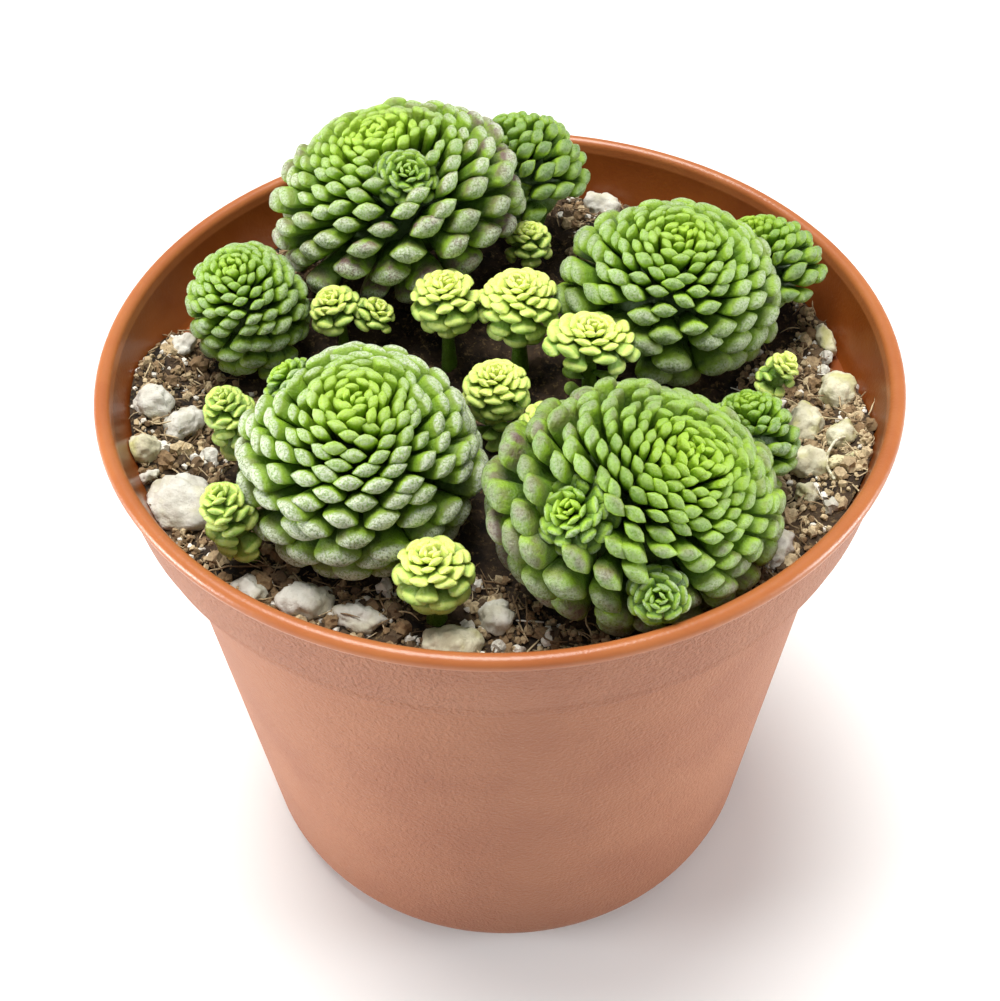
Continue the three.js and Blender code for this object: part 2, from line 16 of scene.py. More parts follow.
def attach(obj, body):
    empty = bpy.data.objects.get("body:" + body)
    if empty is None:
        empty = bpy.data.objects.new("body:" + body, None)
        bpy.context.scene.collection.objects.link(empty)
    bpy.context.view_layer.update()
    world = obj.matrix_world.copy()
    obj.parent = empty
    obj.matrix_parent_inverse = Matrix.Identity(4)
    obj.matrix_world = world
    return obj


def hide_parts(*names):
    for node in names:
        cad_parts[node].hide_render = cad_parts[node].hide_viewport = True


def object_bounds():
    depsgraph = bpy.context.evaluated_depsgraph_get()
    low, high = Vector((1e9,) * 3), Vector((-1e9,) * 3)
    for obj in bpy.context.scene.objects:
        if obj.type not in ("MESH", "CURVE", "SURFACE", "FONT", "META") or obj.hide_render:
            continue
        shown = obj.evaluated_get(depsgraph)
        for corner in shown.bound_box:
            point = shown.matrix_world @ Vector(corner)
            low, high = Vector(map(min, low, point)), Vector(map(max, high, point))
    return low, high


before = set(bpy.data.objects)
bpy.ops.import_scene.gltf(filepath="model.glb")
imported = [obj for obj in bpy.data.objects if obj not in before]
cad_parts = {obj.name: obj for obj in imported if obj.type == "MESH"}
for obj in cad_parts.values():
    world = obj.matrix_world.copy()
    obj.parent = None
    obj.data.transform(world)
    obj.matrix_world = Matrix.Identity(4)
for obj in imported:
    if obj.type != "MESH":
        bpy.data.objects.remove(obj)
CAD_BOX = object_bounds()
MM = 0.001
print("nodes:", len(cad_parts))
print("box in mm:", [tuple(round(c / MM, 1) for c in corner) for corner in CAD_BOX])

# %% [markdown]
# The camera comes first. The photograph looks down at the pot from close by, so the rim is a wide
# ellipse and the base is much smaller. The lens and place were found by matching the rim, the band and
# the base, and are written here as real sizes.

# %% Camera
CAMERA_DOWN = 46.14
CAMERA_ROLL = -1.116
CAMERA_PLACE = (-0.12, -74.47, 108.96)
FOCAL_PIXELS = 1400.0
PHOTO_HEIGHT_PIXELS = 1001.0
SENSOR = 36.0

camera_data = bpy.data.cameras.new("camera")
camera_data.sensor_width = SENSOR
camera_data.lens = FOCAL_PIXELS * SENSOR / PHOTO_HEIGHT_PIXELS
camera_data.clip_start = 0.002
camera = bpy.data.objects.new("camera", camera_data)
bpy.context.scene.collection.objects.link(camera)
tilt = Matrix.Rotation(math.radians(90.0 - CAMERA_DOWN), 4, "X")
roll = Matrix.Rotation(math.radians(CAMERA_ROLL), 4, "Z")
camera.matrix_world = Matrix.Translation(Vector(CAMERA_PLACE) * MM) @ tilt @ roll
bpy.context.scene.camera = camera
print("lens in mm:", round(camera_data.lens, 2))

# %% [markdown]
# Floor and light. The object stands on a plain pale floor in soft studio light: one broad lamp above,
# one low at each side that brightens the pot's wall, and a pale sky that fills the shadows.
# Broad lamps are used, because small ones would give the leaves hard sparkles that a studio tent hasn't.

# %% Floor and light
FLOOR_SIZE = 3.0


def deselect_all():
    if bpy.context.mode != "OBJECT":
        bpy.ops.object.mode_set(mode="OBJECT")
    bpy.ops.object.select_all(action="DESELECT")


def add_shape(operator, **sizes):
    """Run an operator that adds a basic mesh, and give back the new object."""
    deselect_all()
    operator(**sizes)
    return bpy.context.active_object


def shade(code):
    """A colour written as on a paint chart, as the linear values that shaders take."""
    parts = [int(code[i:i + 2], 16) / 255.0 for i in (1, 3, 5)]
    linear = [c / 12.92 if c <= 0.04045 else ((c + 0.055) / 1.055) ** 2.4 for c in parts]
    return (*linear, 1.0)


def add_lamp(name, place, target, size, power, colour):
    data = bpy.data.lights.new(name, "AREA")
    data.shape = "DISK"
    data.size = size
    data.energy = power
    data.color = shade(colour)[:3]
    lamp = bpy.data.objects.new(name, data)
    bpy.context.scene.collection.objects.link(lamp)
    lamp.location = place
    aim = Vector(target) - Vector(place)
    lamp.rotation_euler = aim.to_track_quat("-Z", "Y").to_euler()


floor = add_shape(bpy.ops.mesh.primitive_plane_add, size=FLOOR_SIZE)
floor.name = "floor"
floor_material = bpy.data.materials.new("floor_paper")
floor_material.use_nodes = True
floor_shader = floor_material.node_tree.nodes["Principled BSDF"]
floor_shader.inputs["Base Color"].default_value = (0.93, 0.93, 0.93, 1.0)
floor_shader.inputs["Roughness"].default_value = 0.9
floor.data.materials.append(floor_material)

heart = (0.0, 0.0, 0.04)
add_lamp("lamp_above", (-0.04, 0.06, 0.40), heart, 0.24, 2.1, "#fffdf8")
add_lamp("lamp_right", (0.38, -0.04, 0.07), heart, 0.16, 1.2, "#ffffff")
add_lamp("lamp_left", (-0.38, -0.06, 0.07), heart, 0.16, 1.5, "#ffffff")

world = bpy.data.worlds.new("pale_sky")
world.use_nodes = True
world.node_tree.nodes["Background"].inputs["Color"].default_value = (1.0, 1.0, 1.0, 1.0)
world.node_tree.nodes["Background"].inputs["Strength"].default_value = 0.42
bpy.context.scene.world = world
bpy.context.scene.view_settings.view_transform = "Standard"

# %% [markdown]
# Small tools of the trade. Each piece is finished in the same way: its place goes into its mesh, it gets
# its material, and it is tied to the body, and the imported node that it stands for is hidden. Materials
# are built from a few kinds of node, so a small class adds each kind with its links in one line.

# %% Helpers for pieces
def select_only(*objects):
    deselect_all()
    for obj in objects:
        obj.select_set(True)
    bpy.context.view_layer.objects.active = objects[0]


def apply_modifiers(obj):
    select_only(obj)
    for modifier in list(obj.modifiers):
        bpy.ops.object.modifier_apply(modifier=modifier.name)


def apply_place(obj):
    select_only(obj)
    bpy.ops.object.transform_apply(location=True, rotation=True, scale=True)


def finish_piece(obj, name, material, slot, *nodes):
    apply_place(obj)
    obj.name = name
    obj.data.name = name
    obj.data.materials.clear()
    obj.data.materials.append(material)
    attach(obj, "root")
    if nodes:
        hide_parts(*nodes)
    print(name, "triangles:", sum(len(face.vertices) - 2 for face in obj.data.polygons))


def join_pieces(pieces):
    select_only(*pieces)
    bpy.ops.object.join()
    return bpy.context.active_object


def read_points(obj):
    """The points of a piece's mesh, one row each."""
    points = np.empty(len(obj.data.vertices) * 3)
    obj.data.vertices.foreach_get("co", points)
    return points.reshape(-1, 3)


def write_points(obj, points):
    obj.data.vertices.foreach_set("co", points.ravel())


def colour_points(obj, name, tones):
    """Give each point of a mesh its four numbers, in a colour attribute that is already there."""
    obj.data.attributes[name].data.foreach_set("color", tones.ravel())


def push_points(obj, name, kind, grain_mm, strength_mm, along="NORMAL", group=""):
    """Add a modifier that pushes a piece's points in and out by noise."""
    texture = bpy.data.textures.new(name, kind)
    texture.noise_scale = grain_mm * MM
    push = obj.modifiers.new(name, "DISPLACE")
    push.texture = texture
    push.texture_coords = "GLOBAL"
    push.direction = along
    push.mid_level = 0.5
    push.strength = strength_mm * MM
    push.vertex_group = group


def start_edit():
    """Go into edit mode with all of the mesh selected."""
    bpy.ops.object.mode_set(mode="EDIT")
    bpy.ops.mesh.select_all(action="SELECT")


def extrude(step, grow=1.0):
    """Extrude the selected faces, and make their new end wider or narrower."""
    bpy.ops.mesh.extrude_region_move(TRANSFORM_OT_translate={"value": step})
    bpy.ops.transform.resize(value=(grow, grow, 1))


def end_edit():
    """Turn all faces outwards and leave edit mode."""
    bpy.ops.mesh.select_all(action="SELECT")
    bpy.ops.mesh.normals_make_consistent(inside=False)
    bpy.ops.object.mode_set(mode="OBJECT")


def own_copy(template):
    """A copy with a mesh of its own, put into the scene."""
    copy = template.copy()
    copy.data = template.data.copy()
    bpy.context.scene.collection.objects.link(copy)
    return copy


# %% Helpers for materials
class Mixer:
    """A material under construction: its node tree, its shader and shorthand for common nodes."""

    def __init__(self, name):
        self.material = bpy.data.materials.new(name)
        self.material.use_nodes = True
        self.tree = self.material.node_tree
        self.shader = self.tree.nodes["Principled BSDF"]
        self.coords = self.tree.nodes.new("ShaderNodeTexCoord").outputs["Object"]

    def feed(self, socket, value):
        """Link an output to a socket, or set the socket to a number or a colour."""
        if isinstance(value, bpy.types.NodeSocket):
            self.tree.links.new(value, socket)
        else:
            socket.default_value = shade(value) if isinstance(value, str) else value

    def set(self, **values):
        for key, value in values.items():
            self.feed(self.shader.inputs[key.replace("_", " ")], value)

    def add(self, kind, inputs, **settings):
        """Add a node with its settings and inputs, and give back its outputs."""
        node = self.tree.nodes.new("ShaderNode" + kind)
        for key, value in settings.items():
            setattr(node, key, value)
        for key, value in inputs.items():
            self.feed(node.inputs[key], value)
        return node.outputs

    def noise(self, grain_mm, detail=3.0, roughness=0.55, warp=0.0):
        inputs = {"Vector": self.coords, "Scale": 1.0 / (grain_mm * MM), "Detail": detail,
                  "Roughness": roughness, "Distortion": warp}
        return self.add("TexNoise", inputs)["Fac"]

    def ramp(self, value, low, high, to_low=0.0, to_high=1.0):
        """A soft step: below low it gives to_low, above high to_high."""
        inputs = {"Value": value, "From Min": low, "From Max": high, "To Min": to_low, "To Max": to_high}
        return self.add("MapRange", inputs, interpolation_type="SMOOTHSTEP")["Result"]

    def math(self, operation, first, second):
        return self.add("Math", {0: first, 1: second}, operation=operation)["Value"]

    def times(self, first, second):
        return self.math("MULTIPLY", first, second)

    def mix(self, share, first, second):
        return self.add("Mix", {"Factor": share, "A": first, "B": second}, data_type="RGBA")["Result"]

    def split(self, name):
        """The four numbers that a piece's mesh carries in a colour attribute."""
        tones = self.add("Attribute", {}, attribute_name=name)
        parts = self.add("SeparateColor", {"Color": tones["Color"]})
        return parts["Red"], parts["Green"], parts["Blue"], tones["Alpha"]

    def place(self):
        """The X, Y and Z of the surface, in metres."""
        parts = self.add("SeparateXYZ", {"Vector": self.coords})
        return parts["X"], parts["Y"], parts["Z"]

    def bump(self, height, depth_mm, strength=1.0, under=None):
        inputs = {"Height": height, "Strength": strength, "Distance": depth_mm * MM}
        if under is not None:
            inputs["Normal"] = under
        return self.add("Bump", inputs)["Normal"]


# %% [markdown]
# The pot is one thin-walled moulding: a tapering wall, a band that stands out below the rim, and a glossy
# rounded lip. A moulding that is the same all round is drawn once as an outline and spun about its axis.
# The drain holes are cut last, with one round cutter for each.

# %% Pot outline
POT_HEIGHT = 47.0
RIM_RADIUS = 27.5
LIP_WIDTH = 1.1
LIP_HEIGHT = 1.0
BAND_TOP_RADIUS = 27.2
BAND_LOW_RADIUS = 26.2
BAND_HEIGHT = 7.0
BAND_INNER_TOP = 26.3
BAND_INNER_LOW = 25.4
WALL_TOP_RADIUS = 24.5
WALL_LOW_RADIUS = 21.25
WALL_THICKNESS = 0.95
BASE_CORNER = 4.0
FLOOR_THICKNESS = 1.3
LEDGE_HEIGHT = 41.9
DRAIN_HOLES = 4
DRAIN_RADIUS = 2.1
DRAIN_CIRCLE = 12.0
POT_STEPS = 144


def arc(centre, radius, start, end, steps):
    """Points of a round stretch, from one angle to another in degrees."""
    angles = [math.radians(start + (end - start) * i / steps) for i in range(steps + 1)]
    return [(centre[0] + radius * math.cos(a), centre[1] + radius * math.sin(a)) for a in angles]


def pot_outline():
    band_foot = POT_HEIGHT - BAND_HEIGHT
    lip_foot = POT_HEIGHT - LIP_HEIGHT
    lip_middle = RIM_RADIUS - LIP_WIDTH / 2
    inner_low = WALL_LOW_RADIUS - WALL_THICKNESS
    inner_corner = BASE_CORNER - WALL_THICKNESS
    outside = [(0.0, 0.0), (9.0, 0.0)]
    outside += arc((WALL_LOW_RADIUS - BASE_CORNER, BASE_CORNER), BASE_CORNER, -90, 0, 10)
    outside += [
        (WALL_TOP_RADIUS, band_foot - 0.35),
        (WALL_TOP_RADIUS + 0.25, band_foot - 0.1),
        (BAND_LOW_RADIUS - 0.3, band_foot),
        (BAND_LOW_RADIUS - 0.05, band_foot + 0.12),
        (BAND_LOW_RADIUS, band_foot + 0.3),
        (BAND_LOW_RADIUS + 0.05, band_foot + 1.0),
        (BAND_LOW_RADIUS + 0.28, band_foot + 1.25),
        (BAND_TOP_RADIUS - 0.02, lip_foot - 0.1),
        (BAND_TOP_RADIUS + 0.02, lip_foot + 0.05),
    ]
    lip = arc((lip_middle, POT_HEIGHT - 0.5), 0.5, -40, 180, 12)
    lip = [(lip_middle + (r - lip_middle) * LIP_WIDTH, z) for r, z in lip]
    inside = [
        (BAND_INNER_TOP, lip_foot - 0.1),
        (BAND_INNER_LOW, LEDGE_HEIGHT + 0.4),
        (BAND_INNER_LOW - 0.3, LEDGE_HEIGHT),
        (WALL_TOP_RADIUS - WALL_THICKNESS + 0.2, LEDGE_HEIGHT - 0.05),
        (WALL_TOP_RADIUS - WALL_THICKNESS, LEDGE_HEIGHT - 0.3),
    ]
    inside += arc((inner_low - inner_corner, FLOOR_THICKNESS + inner_corner), inner_corner, 0, -90, 6)
    inside += [(0.0, FLOOR_THICKNESS)]
    return outside + lip + inside


outline = pot_outline()
print("pot outline points:", len(outline))


# %% Spin the pot
def spin_outline(points, steps):
    """A closed shape of revolution: an outline in millimetres that starts and ends on the axis."""
    deselect_all()
    mesh = bpy.data.meshes.new("outline")
    edges = [(i, i + 1) for i in range(len(points) - 1)]
    mesh.from_pydata([(r * MM, 0.0, z * MM) for r, z in points], edges, [])
    obj = bpy.data.objects.new("outline", mesh)
    bpy.context.scene.collection.objects.link(obj)
    select_only(obj)
    start_edit()
    bpy.ops.mesh.spin(steps=steps, angle=2 * math.pi, center=(0, 0, 0), axis=(0, 0, 1))
    bpy.ops.mesh.select_all(action="SELECT")
    bpy.ops.mesh.remove_doubles(threshold=1e-6)
    end_edit()
    bpy.ops.object.shade_smooth_by_angle(angle=math.radians(35))
    return obj


def drill_drains(pot):
    for hole in range(DRAIN_HOLES):
        angle = (hole + 0.5) / DRAIN_HOLES * 2 * math.pi
        place = (DRAIN_CIRCLE * math.cos(angle) * MM, DRAIN_CIRCLE * math.sin(angle) * MM, 0.0)
        cutter = add_shape(bpy.ops.mesh.primitive_cylinder_add, vertices=32, radius=DRAIN_RADIUS * MM,
                           depth=4 * FLOOR_THICKNESS * MM, location=place)
        cut = pot.modifiers.new("drain", "BOOLEAN")
        cut.object = cutter
        cut.operation = "DIFFERENCE"
        cut.solver = "EXACT"
        apply_modifiers(pot)
        bpy.data.objects.remove(cutter)


pot = spin_outline(outline, POT_STEPS)
drill_drains(pot)

# %% [markdown]
# The pot's plastic. Outside it is matte, a little grainy and paler where it is scuffed; the lip and the
# inside are smoother and a deeper orange brown. One material does both, told apart by height and radius,
# because the real pot is one piece of plastic too.

# %% Zones of the pot
# Painted shade: a dark line painted along the step near the foot of the band.
CREASE_SHADE_HEIGHT = POT_HEIGHT - BAND_HEIGHT + 1.15
CREASE_SHADE_HALF = 0.04
CREASE_SHADE_SOFT = 0.12
INNER_SLOPE = 0.09
INNER_SHIFT = 0.75


def ramp_mm(paint, value, low, high, *ends):
    return paint.ramp(value, low * MM, high * MM, *ends)


def pot_zones(paint):
    """Height, and how much a place is on the lip, inside the pot, and in the painted shade at the step near
    the band's foot.
    """
    x, y, z = paint.place()
    radius = paint.math("SQRT", paint.math("ADD", paint.times(x, x), paint.times(y, y)), 0.0)
    on_lip = ramp_mm(paint, z, POT_HEIGHT - 1.05, POT_HEIGHT - 0.85)
    wall_line = paint.math("ADD", paint.times(z, INNER_SLOPE), (WALL_LOW_RADIUS - INNER_SHIFT) * MM)
    in_wall = ramp_mm(paint, paint.math("SUBTRACT", wall_line, radius), -0.2, 0.2)
    in_band = paint.times(ramp_mm(paint, radius, BAND_INNER_TOP + 0.05, BAND_INNER_TOP + 0.15, 1.0, 0.0),
                          ramp_mm(paint, z, LEDGE_HEIGHT - 0.6, LEDGE_HEIGHT - 0.4))
    low, high = CREASE_SHADE_HEIGHT - CREASE_SHADE_HALF, CREASE_SHADE_HEIGHT + CREASE_SHADE_HALF
    crease_shade = paint.times(ramp_mm(paint, z, low - CREASE_SHADE_SOFT, low, 0.0, 0.45),
                         ramp_mm(paint, z, high, high + CREASE_SHADE_SOFT, 1.0, 0.0))
    return z, on_lip, paint.math("MAXIMUM", in_wall, in_band), crease_shade


# %% Pot plastic
def pot_plastic():
    paint = Mixer("pot_plastic")
    z, on_lip, inner, crease_shade = pot_zones(paint)
    smooth_part = paint.math("MAXIMUM", on_lip, inner)

    clouds = paint.noise(9.0, detail=4.0, roughness=0.6)
    outer = paint.mix(paint.ramp(clouds, 0.3, 0.7), "#955c3f", "#9f6748")
    # Painted shade along the step near the foot of the band.
    outer = paint.mix(crease_shade, outer, "#6d3d28")
    # Painted shade: the wall is painted darker towards the floor.
    outer = paint.mix(ramp_mm(paint, z, 0.0, 20.0, 0.3, 0.0), outer, "#7c4830")
    specks = paint.ramp(paint.noise(0.3, detail=2.0), 0.6, 0.78, 0.0, 0.3)
    outer = paint.mix(specks, outer, "#b98a6e")
    scuffs = paint.times(paint.ramp(paint.noise(1.4, detail=5.0, roughness=0.7, warp=1.2), 0.64, 0.74),
                         paint.ramp(paint.noise(11.0, detail=1.0), 0.52, 0.68, 0.0, 0.35))
    outer = paint.mix(scuffs, outer, "#c49a82")

    within_clouds = paint.ramp(clouds, 0.35, 0.65)
    skin = paint.mix(inner, outer, paint.mix(within_clouds, "#7a3c14", "#864619"))
    skin = paint.mix(on_lip, skin, paint.mix(within_clouds, "#a15b30", "#aa6638"))
    paint.set(Base_Color=skin, Roughness=paint.ramp(smooth_part, 0.0, 1.0, 0.55, 0.3),
              Specular_IOR_Level=0.45, Subsurface_Weight=0.05, Subsurface_Radius=(1.0, 0.4, 0.2),
              Subsurface_Scale=0.6 * MM)

    creases = paint.noise(0.8, detail=4.0, roughness=0.65, warp=1.6)
    leather = paint.math("ADD", creases, paint.noise(0.25, detail=2.0))
    leather = paint.times(leather, ramp_mm(paint, z, 38.0, 41.0, 1.0, 1.6))
    rough = paint.times(leather, paint.ramp(smooth_part, 0.0, 1.0, 1.0, 0.08))
    paint.set(Normal=paint.bump(rough, 0.13, 0.85))
    return paint.material


finish_piece(pot, "pot_moulding", pot_plastic(), "pot_plastic", "pot")

# %% [markdown]
# The soil is dark fibrous peat that fills the pot up to the ledge below the band. A flat disc would look
# like paint, so a disc of fine rings is spun and then pushed up and down by two noise textures: broad
# swells first, then crumbs. Its underside and sides stay smooth, because the pot hides them.

# %% Height of the soil
TINY = 1e-6
NO_LIMIT = 1e9
SOIL_TOP = 42.3
SOIL_BUMP = 0.25
SWELL_REACH = 21.0
SOIL_RING_STEP = 0.42
SOIL_STEPS = 176
BANKS = [(180, 24, 2.0), (-22, 26, 2.6)]
BANK_FOOT = 20.5
BARE_LEDGES = [(7, 9), (157, 9)]
SHRINK_FROM = 22.5
SHRINK_SHARE = 0.06
SHRINK_DROP = 0.6
WALL_SIDE_FROM = 23.5
SOIL_GAP = 0.08
EDGE_WIDTH = 1.5
EDGE_CALM = 0.1


def nearness(x, y, towards, spread):
    """One in a compass direction, falling to nothing at a spread of degrees to each side."""
    aside = abs((math.degrees(math.atan2(y, x)) - towards + 180) % 360 - 180) / spread
    return math.cos(min(aside, 1.0) * math.pi / 2) ** 2


def soil_height(x, y):
    """Height of the packed soil in millimetres: gentle swells, and banks heaped against the wall."""
    radius = math.hypot(x, y)
    outwards = min(max((radius - BANK_FOOT) / (BAND_INNER_LOW - BANK_FOOT), 0.0), 1.0)
    banks = sum(rise * nearness(x, y, towards, spread) * outwards for towards, spread, rise in BANKS)
    if radius > SWELL_REACH:
        return SOIL_TOP + banks
    return SOIL_TOP + SOIL_BUMP * math.sin(0.55 * x + 0.4) * math.cos(0.62 * y - 0.7) + banks


def bare_ledge(x, y):
    """How far the soil has shrunk back from the wall, so that the moulded ledge shows."""
    return max(nearness(x, y, towards, spread) for towards, spread in BARE_LEDGES)


def pot_inner_radius(height):
    """Inner radius of the pot at a height, in millimetres, for one height or for many."""
    band_heights = [LEDGE_HEIGHT, POT_HEIGHT - LIP_HEIGHT]
    in_band = np.interp(height, band_heights, [BAND_INNER_LOW, BAND_INNER_TOP])
    outside = np.interp(height, [BASE_CORNER, LEDGE_HEIGHT], [WALL_LOW_RADIUS, WALL_TOP_RADIUS])
    return np.where(np.asarray(height) >= LEDGE_HEIGHT, in_band, outside - WALL_THICKNESS)


def keep_in_pot(obj, gap):
    """Draw the points of a piece back from the pot's wall."""
    points = read_points(obj)
    radius = np.maximum(np.hypot(points[:, 0], points[:, 1]) / MM, TINY)
    allowed = np.where(points[:, 2] < POT_HEIGHT * MM, pot_inner_radius(points[:, 2] / MM) - gap, NO_LIMIT)
    points[:, :2] *= np.minimum(1.0, allowed / radius)[:, None]
    write_points(obj, points)


# %% Soil body
def soil_outline():
    corner = BASE_CORNER - WALL_THICKNESS
    foot = FLOOR_THICKNESS + 0.02
    low_radius = WALL_LOW_RADIUS - WALL_THICKNESS - 0.1
    top_radius = BAND_INNER_LOW - SOIL_GAP
    points = [(0.0, foot)]
    points += arc((low_radius - corner, foot + corner), corner, -90, 0, 5)
    points += [(WALL_TOP_RADIUS - WALL_THICKNESS - 0.1, LEDGE_HEIGHT - 0.35)]
    points += [(top_radius, LEDGE_HEIGHT + 0.06)]
    rings = int(top_radius / SOIL_RING_STEP)
    points += [(top_radius * (1 - i / rings), SOIL_TOP - 0.05) for i in range(rings + 1)]
    return points


def heap_soil(soil):
    """Raise the flat top into swells and banks, and fit its edge to the wall and the bare ledges."""
    top = soil.vertex_groups.new(name="top")
    for vertex in soil.data.vertices:
        x, y = vertex.co.x / MM, vertex.co.y / MM
        radius = math.hypot(x, y)
        if vertex.co.z > (SOIL_TOP - 0.2) * MM:
            edge = min(1.0, max(EDGE_CALM, (BAND_INNER_LOW - radius) / EDGE_WIDTH))
            top.add([vertex.index], edge, "REPLACE")
            vertex.co.z += (soil_height(x, y) - SOIL_TOP) * MM
        if vertex.co.z > (LEDGE_HEIGHT - 0.5) * MM and radius > SHRINK_FROM:
            shrunk = bare_ledge(x, y) * (radius - SHRINK_FROM) / (BAND_INNER_LOW - SHRINK_FROM)
            vertex.co.z -= SHRINK_DROP * shrunk * MM
            wider = (float(pot_inner_radius(vertex.co.z / MM)) - SOIL_GAP) / BAND_INNER_LOW
            wall_side = min(1.0, max(0.0, radius - WALL_SIDE_FROM)) * (1 - min(1.0, 3 * shrunk))
            vertex.co.xy *= (1 - SHRINK_SHARE * shrunk) * (1 + max(wider - 1, 0.0) * wall_side)


soil = spin_outline(soil_outline(), SOIL_STEPS)
heap_soil(soil)
push_points(soil, "peat_swells", "CLOUDS", 3.2, 1.5, "Z", "top")
push_points(soil, "peat_crumbs", "CLOUDS", 0.8, 1.1, "Z", "top")
apply_modifiers(soil)


# %% Peat colours
def peat():
    paint = Mixer("peat")
    broad = paint.noise(3.0, detail=4.0, roughness=0.65)
    fine = paint.noise(0.45, detail=5.0, roughness=0.7)
    base = paint.mix(paint.ramp(broad, 0.35, 0.65), "#1a1410", "#4c3c2d")
    base = paint.mix(paint.ramp(fine, 0.52, 0.7), base, "#86704f")
    paint.set(Base_Color=base, Roughness=paint.ramp(fine, 0.3, 0.7, 0.75, 0.95), Specular_IOR_Level=0.25,
              Normal=paint.bump(fine, 0.25, 0.9))
    return paint.material


finish_piece(soil, "soil_bed", peat(), "soil", "soil")

# %% [markdown]
# Each rosette is a dome of leaf ends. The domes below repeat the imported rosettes: centre, half widths,
# height above and below the widest row, lean and turn, and the leaves' width at the heart and at the
# oldest row. Where two domes meet, a plane between them shares out the room by how firm each one is.

# %% The rosettes
LEAF_TURN = math.radians(137.508)
UP = Vector((0.0, 0.0, 1.0))


def dome(at, wide, up, down, leaf, lean=0, towards=0, turn=0, reach=118, stem=0.7, firm=4,
         frost_and_sheen=0.5, blush=0.0, green=0.0, loose=0.78):
    """One dome. Frost and sheen is its whitish ends, partly real frost and partly painted highlight; blush
    its brown, green its age at the heart, loose its old rows.
    """
    slant, compass = math.radians(lean), math.radians(towards)
    level = math.sin(slant)
    axis = Vector((level * math.cos(compass), level * math.sin(compass), math.cos(slant)))
    turned = UP.rotation_difference(axis).to_matrix() @ Matrix.Rotation(math.radians(turn), 3, "Z")
    return SimpleNamespace(at=np.array(at), wide=wide, up=up, down=down, leaf=leaf, axis=np.array(axis),
                           turned=np.array(turned), reach=math.radians(reach), stem=stem, firm=firm,
                           frost_and_sheen=frost_and_sheen, blush=blush, green=green, loose=loose)


ROSETTES = {
    "rosette_back_left": dome((-7.2, 13.4, 49.5), (9.7, 9.2), 6.65, 6.4, (1.0, 2.9), 12, 180, stem=1.5,
                              firm=6, frost_and_sheen=0.8, blush=1.1, loose=0.9),
    "rosette_back": dome((2.2, 18.2, 48.2), (5.1, 5), 5.2, 5.8, (0.9, 2.2), 28, 150, reach=115, stem=1.2,
                         firm=1, frost_and_sheen=0.2, green=0.5),
    "rosette_left": dome((-17.6, 4.3, 47), (4.3, 4.6), 5, 6.2, (0.85, 1.9), 14, 240, reach=122, stem=1.2,
                         frost_and_sheen=0.5, green=0.15),
    "rosette_front_left": dome((-8.8, -11.9, 47.5), (7.9, 7.9), 6.8, 5.8, (1.05, 2.75), 9, 280, reach=122,
                               stem=1.5, firm=5, frost_and_sheen=1.3, blush=0.5, loose=0.7),
    "rosette_front_right": dome((7.9, -16, 47.2), (9.9, 8), 7.6, 5.6, (0.95, 2.65), 30, 330, 15, reach=124,
                                stem=1.5, firm=6, frost_and_sheen=0.3, blush=0.85, green=0.12),
    "rosette_right": dome((11.9, 3.9, 47.8), (8.2, 7), 6.4, 5.8, (0.95, 2.7), 10, 300, stem=1.5, firm=6,
                          frost_and_sheen=0.5, blush=0.3, green=0.12, loose=0.8),
    "rosette_far_right": dome((19.2, 7.6, 46.7), (4.6, 4.6), 4.2, 5, (0.8, 2.0), 26, 140, reach=115,
                              stem=1.2, firm=1, frost_and_sheen=0.2, green=0.05),
    "rosette_right_edge": dome((16, -10.2, 46.8), (3.1, 3.5), 3.5, 4.2, (0.7, 1.5), 18, 120, reach=112,
                               firm=1, frost_and_sheen=0.3, green=0.2),
    "offset_twin": dome((-11.3, 3.5, 47.3), (2, 2), 1.8, 2.2, (0.7, 1.55), 15, 200, reach=125, green=0.2),
    "offset_middle_left": dome((-3.6, 3.4, 48), (2.6, 2.5), 2.2, 2.4, (0.8, 1.8), reach=150),
    "offset_middle": dome((1.5, 2.8, 48), (3, 2.9), 2.5, 2.8, (0.8, 1.85), reach=150, stem=0.8),
    "offset_back": dome((2.4, 12.3, 46.2), (1.9, 1.9), 2, 2, (0.7, 1.5), reach=120, firm=3, green=0.3),
    "offset_stalked": dome((6.2, -2.1, 48.5), (3.5, 2.6), 2, 1.7, (0.8, 1.85), 5, 0, reach=125, firm=5),
    "offset_centre": dome((-0.2, -4.3, 46.5), (2.4, 2.3), 2, 2.3, (0.75, 1.6), reach=148),
    "offset_right_of_centre": dome((3.2, -7.4, 46), (2.1, 1.9), 1.7, 2, (0.7, 1.45), reach=120, firm=3),
    "offset_front": dome((-4.1, -20.3, 46.5), (2.5, 2.4), 2, 2.7, (0.85, 1.75), reach=148, stem=0.8,
                         firm=6),
    "offset_front_left": dome((-16.6, -15.6, 46.6), (1.75, 1.9), 2.8, 4.2, (0.75, 1.7), 12, 200, reach=135,
                              firm=5, green=0.75),
    "offset_left": dome((-17.3, -7.3, 46.8), (1.8, 2), 3.1, 4.2, (0.7, 1.6), 12, 200, reach=135, firm=3,
                        green=0.8),
    "offset_right": dome((18.7, -3.1, 46.2), (1.25, 1.3), 2.1, 2.6, (0.6, 1.25), 22, 0, reach=125, stem=0.6,
                         firm=3),
}
